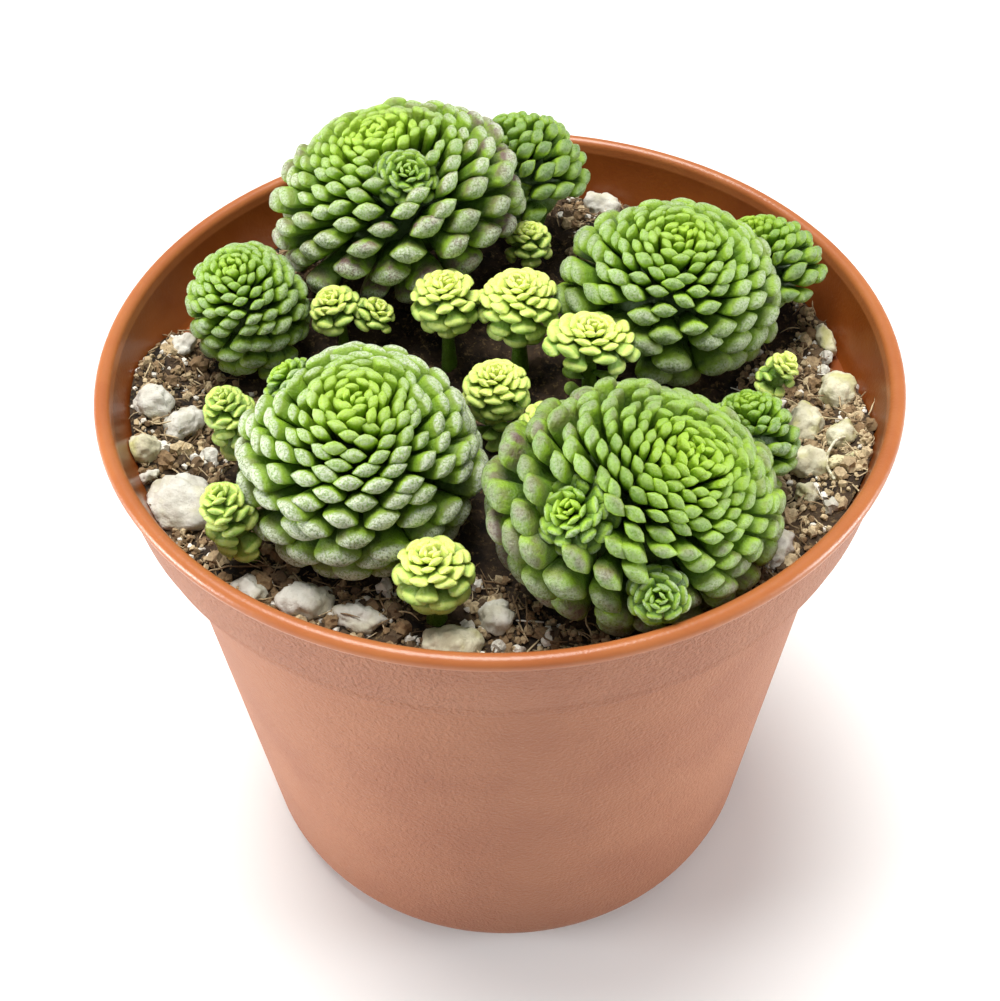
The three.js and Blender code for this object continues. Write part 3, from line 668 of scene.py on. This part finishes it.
HEADS = {
    "rosette_back_left": [
        dome((-6.3, 9.9, 53.8), (2.5, 2.3), 1.9, 1.6, (0.75, 1.3), 35, 285, reach=100, green=0.3),
    ],
    "rosette_front_left": [dome((-12.4, -9.3, 51.1), (2.2, 2.2), 2.2, 1.6, (0.7, 1.4), 35, 150, reach=100)],
    "rosette_front_right": [
        dome((4.3, -20.1, 51.1), (2.6, 2.5), 1.9, 2, (0.8, 1.4), 40, 225, reach=110),
        dome((8.8, -23.3, 47.7), (1.9, 1.8), 1.5, 1.8, (0.75, 1.3), 50, 262, reach=108, green=0.3),
    ],
    "offset_twin": [dome((-8.8, 3.3, 46.9), (1.6, 1.5), 1.4, 1.6, (0.6, 1.3), 30, 0, reach=110, green=0.2)],
}

# %% Room for each rosette
SEAT_GAP = 0.3
PRESS_ROOM = 0.35
CLEAR_OF_WALL = 0.25
CLEAR_OF_SOIL = 0.3


def dome_reach(shape, direction):
    """How far a dome reaches from its centre in a direction."""
    local = shape.turned.T @ direction
    height = shape.up if local[2] > 0 else shape.down
    return math.hypot(shape.wide[0] * local[0], shape.wide[1] * local[1], height * local[2])


def limits_of(name):
    """Planes that keep a rosette off its neighbours, as pairs of a normal and a distance."""
    own = ROSETTES[name]
    planes = []
    for other_name, other in ROSETTES.items():
        if other_name == name:
            continue
        between = other.at - own.at
        distance = np.linalg.norm(between)
        normal = between / distance
        mine = dome_reach(own, normal)
        crossing = mine + dome_reach(other, -normal) - distance
        if crossing > -SEAT_GAP:
            reach = mine - crossing * other.firm / (own.firm + other.firm)
            planes.append((normal, normal @ own.at + reach + PRESS_ROOM))
    return planes


def is_clear(point, planes):
    """True for a point that is off the wall, the soil and the neighbours."""
    if point[2] < POT_HEIGHT + SEAT_GAP:
        if math.hypot(point[0], point[1]) > pot_inner_radius(point[2]) - CLEAR_OF_WALL:
            return False
    if point[2] <= SOIL_TOP + CLEAR_OF_SOIL:
        return False
    return all(normal @ point <= offset for normal, offset in planes)


print("rosettes:", len(ROSETTES), "extra heads:", sum(len(heads) for heads in HEADS.values()))

# %% [markdown]
# One leaf. It is a fat club: a narrow foot, a swelling body, a crisp rim, and a low domed end whose
# outline is a lens with a point at each side. A circle is extruded and resized ring by ring, as one would
# by hand, and closed at the tip. It has few faces, because the plant carries well over a thousand.

# %% One leaf
LEAF_SIDES = 12
LEAF_FOOT = 0.32
RIM_AT = 0.8
LEAF_RINGS = [(0.4, 0.6), (0.68, 0.93), (RIM_AT, 1.0), (0.87, 0.95), (0.94, 0.76), (0.985, 0.42)]
LENS_POINT = 2.0


def model_leaf():
    leaf = add_shape(bpy.ops.mesh.primitive_circle_add, vertices=LEAF_SIDES, radius=LEAF_FOOT,
                     fill_type="NGON")
    start_edit()
    height, width = 0.0, LEAF_FOOT
    for ring_height, ring_width in [*LEAF_RINGS, (1.0, 0.1)]:
        extrude((0, 0, ring_height - height), ring_width / width)
        height, width = ring_height, ring_width
    bpy.ops.mesh.merge(type="CENTER")
    end_edit()
    bpy.ops.object.shade_smooth()
    leaf.name = "leaf_pattern"
    return leaf


def pinch_sides(leaf):
    """Turn each round ring into a lens, with its two points at the left and right."""
    for vertex in leaf.data.vertices:
        radius = math.hypot(vertex.co.x, vertex.co.y)
        if radius > TINY:
            across = abs(vertex.co.x) / radius
            vertex.co.y = math.copysign(radius * (1 - across ** LENS_POINT), vertex.co.y)


leaf_pattern = model_leaf()
first_corner = leaf_pattern.data.vertices[0].co
if abs(first_corner.y) > abs(first_corner.x):
    leaf_pattern.data.transform(Matrix.Rotation(math.radians(90), 4, "Z"))
pinch_sides(leaf_pattern)
leaf_pattern.data.attributes.new("leaf_tone", "FLOAT_COLOR", "POINT")
leaf_points = read_points(leaf_pattern)
print("leaf faces:", len(leaf_pattern.data.polygons), "points:", len(leaf_points))

# %% [markdown]
# Leaves grow one after the other at the golden angle, so the spirals of the real plant appear by
# themselves. Each leaf gets a patch of the dome that suits its width, tight at the heart and loose lower
# down. A leaf that would meet a neighbour or the pot is drawn back along its own line.

# %% Leaf spirals
HEART_CROWDING = 0.46
HEART_START = 0.2
FULL_AGE_AT = 0.66
WIDENING = 1.25
CORE_SHARE = 0.56
LEAF_OFF_WALL = 0.08
BOW = 0.3
STRAY = 0.1
LEAN_STRAY = 0.05
TWIST = 0.12
DRAW_BACK = 0.02
LEAST_KEPT = 0.3
GROWN_HABIT = SimpleNamespace(splay=0.15, thickness=0.52, cap=0.2)
YOUNG_HABIT = SimpleNamespace(splay=0.75, thickness=0.4, cap=0.16)


def leaf_spots(shape):
    """Down angle, round angle, width and age of each leaf, from the heart to the oldest row."""
    spots = []
    mean = (shape.wide[0] + shape.wide[1]) / 2
    down = HEART_START * shape.leaf[0] / mean
    index = 0
    while down < shape.reach:
        age = min(down / (FULL_AGE_AT * shape.reach), 1.0)
        width = shape.leaf[0] + (shape.leaf[1] - shape.leaf[0]) * age ** WIDENING
        width *= min(1.0, 0.6 + 0.06 * index)
        spots.append((down, index * LEAF_TURN, width, age))
        height = shape.up if down < math.pi / 2 else shape.down
        slope = math.hypot(mean * math.cos(down), height * math.sin(down))
        crowding = HEART_CROWDING + (shape.loose - HEART_CROWDING) * age
        down += crowding * width * width / (2 * math.pi * mean * math.sin(down) * slope)
        index += 1
    return spots


def dome_point(shape, down, round_angle):
    """A point of the dome and the outward direction there, both in the part's frame."""
    level = math.sin(down)
    unit = np.array([level * math.sin(round_angle), -level * math.cos(round_angle), math.cos(down)])
    height = shape.up if unit[2] > 0 else shape.down
    size = np.array([shape.wide[0], shape.wide[1], height])
    outward = shape.turned @ (unit / size)
    return shape.turned @ (unit * size), outward / np.linalg.norm(outward)


def press_in(points, planes):
    """Keep leaf points off the neighbours, the wall and the soil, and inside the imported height."""
    for normal, offset in planes:
        beyond = points @ normal - offset
        points -= np.outer(np.maximum(beyond, 0.0), normal)
    radius = np.hypot(points[:, 0], points[:, 1])
    in_pot = points[:, 2] < POT_HEIGHT + 0.2
    allowed = np.where(in_pot, pot_inner_radius(points[:, 2]) - LEAF_OFF_WALL, NO_LIMIT)
    points[:, :2] *= np.minimum(1.0, allowed / np.maximum(radius, TINY))[:, None]
    points[:, 2] = np.clip(points[:, 2], SOIL_TOP - 0.2, CAD_BOX[1][2] / MM - 0.02)
    return points


def grow_leaf(tip, out, inward, width, thickness, length, cap, bow, planes):
    """Points of one leaf, from the pattern leaf's points. Its cap is the part beyond the rim."""
    half = width / 2
    side = np.cross(inward, out)
    along = leaf_points[:, 2]
    body = length - cap
    in_cap = body + (along - RIM_AT) / (1 - RIM_AT) * cap
    height = np.where(along <= RIM_AT, along / RIM_AT * body, in_cap)
    rise = bow * half * (height / length) ** 2
    points = tip - out * length + np.outer(height, out) + np.outer(leaf_points[:, 0] * half, side)
    points += np.outer(leaf_points[:, 1] * half * thickness + rise - bow * half, inward)
    return press_in(points, planes)


def add_leaf(points, age, blush, frost_and_sheen, light=1.0):
    """A copy of the pattern leaf. It carries place along the leaf, age, blush and frost with painted sheen
    for its skin; a light below one paints it darker, as painted shade.
    """
    leaf = own_copy(leaf_pattern)
    write_points(leaf, points * MM)
    tones = np.empty((len(points), 4))
    tones[:, 0] = leaf_points[:, 2] * light
    tones[:, 1:] = (age, blush, frost_and_sheen)
    tones[:, 2] *= np.clip(0.4 + 1.6 * leaf_points[:, 1], 0.0, 1.0)
    colour_points(leaf, "leaf_tone", tones)
    return leaf


def square_up(out, axis):
    """Unit directions along a leaf and from it towards the rosette's axis, at right angles."""
    out = out / np.linalg.norm(out)
    inward = axis - (axis @ out) * out
    return out, inward / np.linalg.norm(inward)


def is_under_head(tip, heads):
    return any(np.linalg.norm(head.turned.T @ (tip - head.at)) < 1.12 * head.wide[0] for head in heads)


def grow_leaves(shape, habit, planes, draws, heads):
    """All leaves of a dome, but for those that would be hidden under its young heads."""
    leaves = []
    for down, round_angle, width, age in leaf_spots(shape):
        stray = STRAY * width / shape.wide[0]
        down_there = down + draws.gauss(0, stray)
        reach, outward = dome_point(shape, down_there, round_angle + draws.gauss(0, 1.2 * stray))
        radial = reach / np.linalg.norm(reach)
        kept = 1.0 + draws.uniform(-0.035, 0.03)
        while kept > LEAST_KEPT and not is_clear(shape.at + reach * kept, planes):
            kept -= DRAW_BACK
        tip = shape.at + reach * kept
        if kept < 0.9 * CORE_SHARE or is_under_head(tip, heads):
            continue
        out = 0.5 * radial + 0.5 * outward + np.array([draws.gauss(0, LEAN_STRAY) for _ in range(3)])
        out, inward = square_up(out, shape.axis)
        splay = habit.splay * math.sin(min(1.6 * down, 2.3))
        out, inward = square_up(out - splay * inward, shape.axis)
        twist = draws.gauss(0, TWIST)
        inward = inward * math.cos(twist) + np.cross(out, inward) * math.sin(twist)
        width *= draws.uniform(0.9, 1.1)
        length = min(0.66 * np.linalg.norm(reach) * kept, 2.6 * width + 1.2)
        cap = width * (habit.cap + 0.12 * age)
        thickness = habit.thickness + 0.05 * age + draws.uniform(-0.05, 0.05)
        points = grow_leaf(tip, out, inward, width * 0.98, thickness, length, cap, BOW, planes)
        blush = shape.blush * age * draws.uniform(0.5, 1.3)
        look = shape.green + (1 - shape.green) * age
        leaves.append(add_leaf(points, look, blush, shape.frost_and_sheen * draws.uniform(0.75, 1.25)))
    return leaves


# %% [markdown]
# Below the leaves is a dark fleshy core with a short stem down into the soil. A ball is shaped to the
# dome at a smaller size, and its lowest faces are extruded down and drawn in. It is mostly hidden, but
# without it light would shine through the gaps between the leaves.

# %% Cores and stems
STEM_DEPTH = 3.0
STEM_ABOVE_SOIL = 1.2
STEM_CIRCLE = 21.7
STEM_SHARE = 0.85
STEM_RINGS = 3
STEM_RING_STEP = 0.5
# The core takes the leaves' foot colour, which is partly painted shade for the gaps between leaves.
CORE_TONES = [0.1, 1.0, 0.0, 0.0]


def draw_out_stem(core):
    """Extrude the faces round the lower pole, ring by ring."""
    bpy.ops.object.mode_set(mode="EDIT")
    bpy.ops.mesh.select_all(action="DESELECT")
    bpy.ops.object.mode_set(mode="OBJECT")
    for face in core.data.polygons:
        face.select = face.center.z < -0.96
    bpy.ops.object.mode_set(mode="EDIT")
    for _ in range(STEM_RINGS):
        extrude((0, 0, -STEM_RING_STEP))
    bpy.ops.object.mode_set(mode="OBJECT")


def stem_place(shape, local):
    """Where a point of the extruded stem goes, in millimetres."""
    spread = math.hypot(local[0], local[1])
    ring = shape.stem * STEM_SHARE / spread if spread > 1e-4 else 0.0
    middle = shape.at[:2] * min(1.0, STEM_CIRCLE / max(np.hypot(*shape.at[:2]), TINY))
    low = (-local[2] - 1.0) / (STEM_RINGS * STEM_RING_STEP)
    height = SOIL_TOP + STEM_ABOVE_SOIL - low * (STEM_DEPTH + STEM_ABOVE_SOIL)
    return np.array([*(middle + local[:2] * ring), height])


def model_core(shape, with_stem):
    core = add_shape(bpy.ops.mesh.primitive_uv_sphere_add, segments=24, ring_count=14, radius=1.0)
    bpy.ops.object.shade_smooth()
    if with_stem:
        draw_out_stem(core)
    for vertex in core.data.vertices:
        local = np.array(vertex.co)
        height = shape.up if local[2] > 0 else shape.down
        place = shape.at + shape.turned @ (local * CORE_SHARE * np.array([*shape.wide, height]))
        vertex.co = (stem_place(shape, local) if local[2] < -1.01 else place) * MM
    core.data.attributes.new("leaf_tone", "FLOAT_COLOR", "POINT")
    colour_points(core, "leaf_tone", np.tile(CORE_TONES, (len(core.data.vertices), 1)))
    return core


# %% [markdown]
# Leaf skin. The heart is a bright lime, the older rows are a deeper green, and each leaf gets darker
# towards its foot, partly its own deeper green and partly painted shade for the furrows between leaves.
# The ends carry tiny clear bumps that scatter white light, so they look as if they were dusted with sugar;
# this silver frost is partly their own and partly a painted highlight. The oldest ends take a purple grey
# tint. The mesh carries each leaf's age along.

# %% Leaf skin
def leaf_skin(name, heart, grown, dusk, foot_green_and_shade, frost_and_sheen_share, glow):
    paint = Mixer(name)
    along, age, blush, frost_and_sheen = paint.split("leaf_tone")
    body = paint.mix(paint.ramp(age, 0.05, 0.5), heart, grown)
    body = paint.mix(paint.ramp(age, 0.5, 1.0), body, dusk)
    blotch = paint.noise(1.1, detail=3.0)
    body = paint.mix(paint.ramp(blotch, 0.4, 0.7, 0.0, 0.35), body, heart)
    # Darker towards the foot: partly the leaf's own deeper green, partly painted shade for the furrows
    # between leaves.
    skin = paint.mix(paint.ramp(along, 0.2, 0.78), foot_green_and_shade, body)
    rim = paint.times(paint.ramp(along, 0.72, 0.82), paint.ramp(along, 0.98, 0.84))
    skin = paint.mix(paint.times(rim, 0.5), skin, heart)
    brown = paint.times(paint.ramp(along, 0.6, 0.85), paint.ramp(blotch, 0.66, 0.36))
    skin = paint.mix(paint.times(brown, blush), skin, "#6e5650")
    grain = paint.noise(0.16, detail=3.0, roughness=0.8)
    # Painted highlight: the whitish frost on the leaf ends is partly their own frost and partly painted
    # sheen.
    patch = paint.times(paint.ramp(along, 0.84, 0.94), paint.ramp(grain, 0.42, 0.58, 0.2, 1.0))
    frost_and_sheen_mask = paint.times(patch, paint.ramp(age, 0.1, 0.7, 0.12, frost_and_sheen_share))
    skin = paint.mix(paint.times(frost_and_sheen_mask, frost_and_sheen), skin, "#c3ccb4")
    dents = paint.bump(paint.noise(0.55, detail=2.0), 0.16, 0.9)
    paint.set(Base_Color=skin, Roughness=paint.ramp(grain, 0.35, 0.65, 0.25, 0.5), Specular_IOR_Level=0.6,
              Subsurface_Weight=glow, Subsurface_Radius=(0.8, 1.0, 0.2), Subsurface_Scale=0.6 * MM,
              Normal=paint.bump(grain, 0.09, 1.0, under=dents))
    return paint.material


GROWN_SKIN = leaf_skin("leaf_skin", "#a0c42c", "#709a28", "#537626", "#37590c", 1.0, 0.2)
YOUNG_SKIN = leaf_skin("young_leaf_skin", "#effb8c", "#dcf27a", "#86ae3e", "#587c1e", 0.2, 0.35)

# %% [markdown]
# Two of the young rosettes carry a few small leaves on their stalks. They are grown round the stalk in
# the same golden spiral, each one flat and reaching slightly up, and painted darker as painted shade
# beneath the rosettes.

# %% Stalk leaves
STALK_LEAVES = {"offset_centre": 12, "offset_stalked": 6}
STALK_LEAF_WIDTH = 1.25
# Painted shade: the stalk leaves are painted darker, for the shadow under the rosettes.
STALK_LEAF_PAINTED_SHADE = 0.75
STALK_LEAF_FROM = SOIL_TOP + 0.7


def grow_stalk_leaves(shape, count, planes, draws):
    leaves = []
    top = shape.at[2] - 0.75 * shape.down
    for index in range(count):
        height = STALK_LEAF_FROM + (top - STALK_LEAF_FROM) * index / count
        angle = index * LEAF_TURN + draws.uniform(-0.3, 0.3)
        out = np.array([math.cos(angle), math.sin(angle), draws.uniform(-0.1, 0.45)])
        out /= np.linalg.norm(out)
        tip = np.array([shape.at[0], shape.at[1], height]) + out * (shape.stem + draws.uniform(1.1, 1.7))
        if not is_clear(tip, planes):
            continue
        inward = np.array((UP - Vector(out) * out[2]).normalized())
        width = STALK_LEAF_WIDTH * draws.uniform(0.8, 1.1)
        points = grow_leaf(tip, out, inward, width, 0.6, 2.2, 0.4 * width, 0.4, planes)
        leaves.append(add_leaf(points, 0.9, 0.0, 0.3, STALK_LEAF_PAINTED_SHADE))
    return leaves


# %% Grow the clump
LEAF_SEED = 20


def grow_rosette(number, name):
    draws = random.Random(LEAF_SEED + number)
    planes = limits_of(name)
    heads = HEADS.get(name, [])
    if name.startswith("offset"):
        habit, skin, slot = YOUNG_HABIT, YOUNG_SKIN, "young_leaf"
    else:
        habit, skin, slot = GROWN_HABIT, GROWN_SKIN, "leaf"
    pieces = [model_core(ROSETTES[name], True)]
    pieces += grow_leaves(ROSETTES[name], habit, planes, draws, heads)
    pieces += grow_stalk_leaves(ROSETTES[name], STALK_LEAVES.get(name, 0), planes, draws)
    for head in heads:
        pieces.append(model_core(head, False))
        pieces += grow_leaves(head, YOUNG_HABIT, planes, draws, [])
    print(name, "leaves:", len(pieces) - 1 - len(heads))
    finish_piece(join_pieces(pieces), name + "_leaves", skin, slot, name)


for number, name in enumerate(ROSETTES):
    grow_rosette(number, name)
bpy.data.objects.remove(leaf_pattern)

# %% [markdown]
# Lumps of pumice and lime lie half sunk in the soil. They are chalky, rough and pitted, and no two are
# alike. A ball of fine triangles is pushed in and out by noise that depends on its place, so that every
# lump takes a shape of its own.

# %% Grit lumps
GRIT_RISE = 0.25
LUMP_SHARE = 0.98
STRAY_GAP = 0.1
GRIT = [
    ((-23.1, 5.0), (1.0, 0.9, 0.8), 20),
    ((-24.0, -2.0), (1.3, 1.3, 1.2), 30),
    ((-21.9, -3.3), (1.8, 0.95, 1.0), 57),
    ((-24.2, -5.7), (0.9, 1.1, 1.0), 0),
    ((-23.6, -7.8), (0.6, 0.55, 0.5), 40),
    ((-21.2, -10.5), (2.3, 2.3, 1.3), 40),
    ((-15.7, -18.0), (1.25, 1.0, 0.9), 150),
    ((-12.2, -18.9), (1.6, 1.3, 1.1), 10),
    ((-8.8, -20.4), (1.5, 1.0, 0.9), 170),
    ((-3.2, -22.7), (1.8, 1.2, 1.1), 10),
    ((-0.4, -20.5), (1.1, 1.2, 1.0), 30),
    ((23.7, -1.1), (1.2, 1.9, 1.3), 10),
    ((20.95, -3.9), (1.2, 1.7, 1.2), 0),
    ((22.7, -6.6), (0.95, 1.0, 0.9), 0),
    ((20.3, -8.7), (1.5, 1.3, 1.1), 150),
    ((19.7, -11.4), (0.75, 0.75, 0.7), 60),
    ((17.4, -15.8), (0.7, 1.4, 0.8), 160),
    ((24.0, 5.2), (0.55, 1.5, 0.9), 12),
    ((8.6, 22.5), (1.6, 1.0, 1.1), 165),
    ((14.6, 19.6), (1.4, 1.0, 1.1), 130),
]
TINTED_LUMPS = (4, 10, 12, 13, 14, 15, 16, 18)


def chalk(name, moss_share, base, shadow):
    paint = Mixer(name)
    grain = paint.noise(0.25, detail=4.0, roughness=0.7)
    patches = paint.ramp(paint.noise(1.6, detail=4.0, roughness=0.65), 0.35, 0.7)
    skin = paint.mix(patches, base, shadow)
    moss = paint.ramp(paint.noise(2.2, detail=2.0), 0.48, 0.66, 0.0, moss_share)
    skin = paint.mix(moss, skin, "#b3b244")
    skin = paint.mix(paint.ramp(grain, 0.62, 0.74, 0.0, 0.6), skin, "#5d5346")
    paint.set(Base_Color=skin, Roughness=0.9, Normal=paint.bump(grain, 0.12, 0.9))
    return paint.material


CHALK = chalk("chalky_grit", 0.15, "#dddbd2", "#bcb7ab")
TINTED_CHALK = chalk("mossy_grit", 0.55, "#e2dec4", "#beb79a")


def model_lump(number, at, half, turn):
    place = Vector((*at, soil_height(*at) + GRIT_RISE * half[2])) * MM
    lump = add_shape(bpy.ops.mesh.primitive_ico_sphere_add, subdivisions=4, radius=1.0, location=place,
                     rotation=(0, 0, math.radians(turn)))
    lump.scale = [LUMP_SHARE * h * MM for h in half]
    apply_place(lump)
    push_points(lump, "lump_form", "CLOUDS", 1.7, 1.3)
    push_points(lump, "lump_pits", "VORONOI", 0.5, 0.35)
    apply_modifiers(lump)
    bpy.ops.object.shade_smooth()
    keep_in_pot(lump, STRAY_GAP)
    material = TINTED_CHALK if number in TINTED_LUMPS else CHALK
    finish_piece(lump, f"grit_lump_{number}", material, "grit", f"grit_{number}")


for number, (at, half, turn) in enumerate(GRIT, start=1):
    model_lump(number, at, half, turn)

# %% [markdown]
# Crumbs and fibres are what make peat look like peat. A few of each are modelled with few faces, and
# thousands of copies are dropped on the open soil near the wall, some of them white as lime. Among the
# rosettes the soil is left bare and dark, as painted shade. Each copy carries its own tone from nearly
# black to straw, so that one material serves them all.

# %% Patterns for the litter
def bare_crumb(name, subdivisions, seed):
    """A ball of triangles with its corners pushed about."""
    crumb = add_shape(bpy.ops.mesh.primitive_ico_sphere_add, subdivisions=subdivisions, radius=1.0)
    crumb.name = name
    start_edit()
    bpy.ops.transform.vertex_random(offset=0.32, uniform=0.5, normal=0.5, seed=seed)
    bpy.ops.object.mode_set(mode="OBJECT")
    crumb.data.attributes.new("litter_tone", "FLOAT_COLOR", "POINT")
    return crumb


def bare_fibre(name, bends):
    """A square rod, extruded step by step to the side and made thicker or thinner."""
    fibre = add_shape(bpy.ops.mesh.primitive_circle_add, vertices=4, radius=0.05, fill_type="NGON")
    fibre.name = name
    start_edit()
    for side, grow in bends:
        extrude((side, 0.4 * side, 0.4), grow)
    end_edit()
    bpy.ops.object.shade_smooth()
    fibre.data.attributes.new("litter_tone", "FLOAT_COLOR", "POINT")
    return fibre


CRUMBS = [bare_crumb(f"crumb_{seed}", 1, seed) for seed in range(3)]
CLODS = [bare_crumb(f"clod_{seed}", 2, seed + 10) for seed in range(3)]
FIBRES = [
    bare_fibre("fibre_bent", [(0.1, 1.2), (0.16, 1.0), (0.02, 1.0), (-0.14, 0.9), (-0.2, 0.6)]),
    bare_fibre("fibre_straight", [(0.03, 1.1), (-0.03, 1.1), (0.05, 0.9), (0.02, 0.7)]),
]


# %% Where litter may lie
# Litter lies only near the wall and off the rosettes, so the soil among them stays bare dark peat: painted
# shade for the shadow there.
LITTER_FROM = 17.0
UNDER_ROSETTE = 0.75
LITTER_OFF_WALL = 0.3
BARE_WIDTH = 1.3


def is_open_soil(x, y):
    """True near the wall, where the soil isn't under a rosette."""
    for shape in ROSETTES.values():
        aside = math.hypot((x - shape.at[0]) / shape.wide[0], (y - shape.at[1]) / shape.wide[1])
        if aside < UNDER_ROSETTE:
            return False
    wall = float(pot_inner_radius(soil_height(x, y)))
    return LITTER_FROM < math.hypot(x, y) < wall - LITTER_OFF_WALL - BARE_WIDTH * bare_ledge(x, y)


ground = BVHTree.FromPolygons([v.co.copy() for v in soil.data.vertices],
                              [tuple(face.vertices) for face in soil.data.polygons])


def ground_at(x, y):
    """Height of the finished soil, in millimetres."""
    place = ground.ray_cast(Vector((x, y, 60.0)) * MM, -UP)[0]
    return place.z / MM if place else SOIL_TOP


# %% Drop the litter
LITTER_SEED = 7
STRAW_SIDE = 0.45
STRAW_PLACE = (-24, 22)
LITTER_GAP = 0.03


def drop_litter(name, patterns, count, sizes, tones, white_share, lift, flat):
    """Drop copies on open soil. Sizes and tones are ranges, and lift is a share of the size."""
    draws = random.Random(LITTER_SEED + count)
    dropped = []
    while len(dropped) < count:
        reach = BAND_INNER_TOP * math.sqrt(draws.random())
        angle = draws.uniform(0, 2 * math.pi)
        x, y = reach * math.cos(angle), reach * math.sin(angle)
        if not is_open_soil(x, y):
            continue
        size = draws.uniform(*sizes) * draws.uniform(0.7, 1.0)
        tilt = math.radians(90 + draws.uniform(-18, 18)) if flat else draws.uniform(0, math.pi)
        place = Matrix.Translation(Vector((x, y, ground_at(x, y) + size * lift)) * MM)
        turned = Matrix.Rotation(draws.uniform(0, 6.3), 4, "Z") @ Matrix.Rotation(tilt, 4, "X")
        turned = turned @ Matrix.Rotation(draws.uniform(0, 6.3), 4, "Z")
        piece = own_copy(draws.choice(patterns))
        piece.data.transform(place @ turned @ Matrix.Diagonal((size * MM, size * MM, size * MM, 1.0)))
        white = 1.0 if draws.random() < white_share else 0.0
        tone = draws.uniform(*tones) ** 1.3 + STRAW_SIDE * nearness(x, y, *STRAW_PLACE)
        values = np.tile([tone, white, 0.0, 1.0], (len(piece.data.vertices), 1))
        colour_points(piece, "litter_tone", values)
        dropped.append(piece)
    litter = join_pieces(dropped)
    keep_in_pot(litter, LITTER_GAP)
    finish_piece(litter, name, LITTER, "soil")


def litter_colours():
    paint = Mixer("peat_litter")
    tone, white = paint.split("litter_tone")[:2]
    grain = paint.noise(0.2, detail=3.0)
    brown = paint.mix(paint.ramp(tone, 0.0, 0.45), "#33271d", "#8a7050")
    brown = paint.mix(paint.ramp(tone, 0.45, 1.0), brown, "#cdb994")
    brown = paint.mix(paint.ramp(grain, 0.4, 0.7, 0.0, 0.4), brown, "#4a3a2b")
    skin = paint.mix(white, brown, "#e4e0d6")
    paint.set(Base_Color=skin, Roughness=0.9, Normal=paint.bump(grain, 0.08, 0.8))
    return paint.material


LITTER = litter_colours()
drop_litter("peat_clods", CLODS, 620, (0.25, 0.65), (0.2, 1.0), 0.1, 0.2, False)
drop_litter("peat_grains", CRUMBS, 4200, (0.1, 0.32), (0.2, 1.0), 0.12, 0.5, False)
drop_litter("peat_fibres", FIBRES, 1500, (0.45, 1.3), (0.35, 1.0), 0.02, 0.25, True)
for pattern in [*CRUMBS, *CLODS, *FIBRES]:
    bpy.data.objects.remove(pattern)

# %% [markdown]
# A few strays lie on top: a chip of bark and a pale root that curls beside it, and small white bits of
# lime near the wall. The chip is a bevelled block, and the root is a curve turned into a closed tube.

# %% Bark chip, root and lime bits
CHIP_AT = (22.7, -9.3)
CHIP_SIZE = (2.7, 0.8, 0.5)
ROOT_POINTS = [(23.0, -7.2, 0.5), (21.9, -8.2, 1.0), (21.3, -9.6, 0.8), (21.6, -10.9, 0.3)]
ROOT_RADIUS = 0.1
LIME_BITS = [
    ((25.0, -0.4), 0.42), ((24.9, 0.6), 0.3), ((23.2, 1.5), 0.5), ((23.8, 3.2), 0.45),
    ((21.0, -13.1), 0.5), ((-19.9, -5.7), 0.6), ((-0.4, -22.6), 0.4),
]


def rough_skin(name, base, shadow):
    paint = Mixer(name)
    grain = paint.noise(0.35, detail=4.0, roughness=0.7)
    skin = paint.mix(paint.ramp(grain, 0.4, 0.62), base, shadow)
    paint.set(Base_Color=skin, Roughness=0.85, Normal=paint.bump(grain, 0.12, 0.9))
    return paint.material


def model_chip():
    place = Vector((*CHIP_AT, ground_at(*CHIP_AT) + 0.35 * CHIP_SIZE[2])) * MM
    chip = add_shape(bpy.ops.mesh.primitive_cube_add, size=1.0, location=place,
                     rotation=(0, 0, math.radians(12)))
    chip.scale = [v * MM for v in CHIP_SIZE]
    apply_place(chip)
    soften = chip.modifiers.new("soften", "BEVEL")
    soften.width = 0.14 * MM
    soften.segments = 2
    fine = chip.modifiers.new("fine", "SUBSURF")
    fine.subdivision_type = "SIMPLE"
    fine.levels = 3
    push_points(chip, "chip_form", "CLOUDS", 0.6, 0.35)
    apply_modifiers(chip)
    keep_in_pot(chip, STRAY_GAP)
    finish_piece(chip, "bark_chip", rough_skin("bark", "#d8cfa6", "#6f6140"), "soil")


def model_root():
    root = add_shape(bpy.ops.curve.primitive_bezier_curve_add)
    root.data.splines.clear()
    line = root.data.splines.new("BEZIER")
    line.bezier_points.add(len(ROOT_POINTS) - 1)
    for point, (x, y, rise) in zip(line.bezier_points, ROOT_POINTS):
        point.co = [v * MM for v in (x, y, ground_at(x, y) + rise)]
        point.handle_left_type = point.handle_right_type = "AUTO"
    root.data.bevel_depth = ROOT_RADIUS * MM
    root.data.use_fill_caps = True
    bpy.ops.object.convert(target="MESH")
    root = bpy.context.active_object
    bpy.ops.object.shade_smooth()
    finish_piece(root, "pale_root", rough_skin("root", "#e0dcc6", "#a89f7c"), "soil")


def model_bits():
    pattern = bare_crumb("bit", 2, 5)
    bits = []
    for (x, y), size in LIME_BITS:
        bit = own_copy(pattern)
        place = Matrix.Translation(Vector((x, y, ground_at(x, y) + 0.4 * size)) * MM)
        bit.data.transform(place @ Matrix.Rotation(x, 4, "Z") @ Matrix.Scale(size * MM, 4))
        bits.append(bit)
    bpy.data.objects.remove(pattern)
    finish_piece(join_pieces(bits), "lime_bits", CHALK, "soil")


model_chip()
model_root()
model_bits()
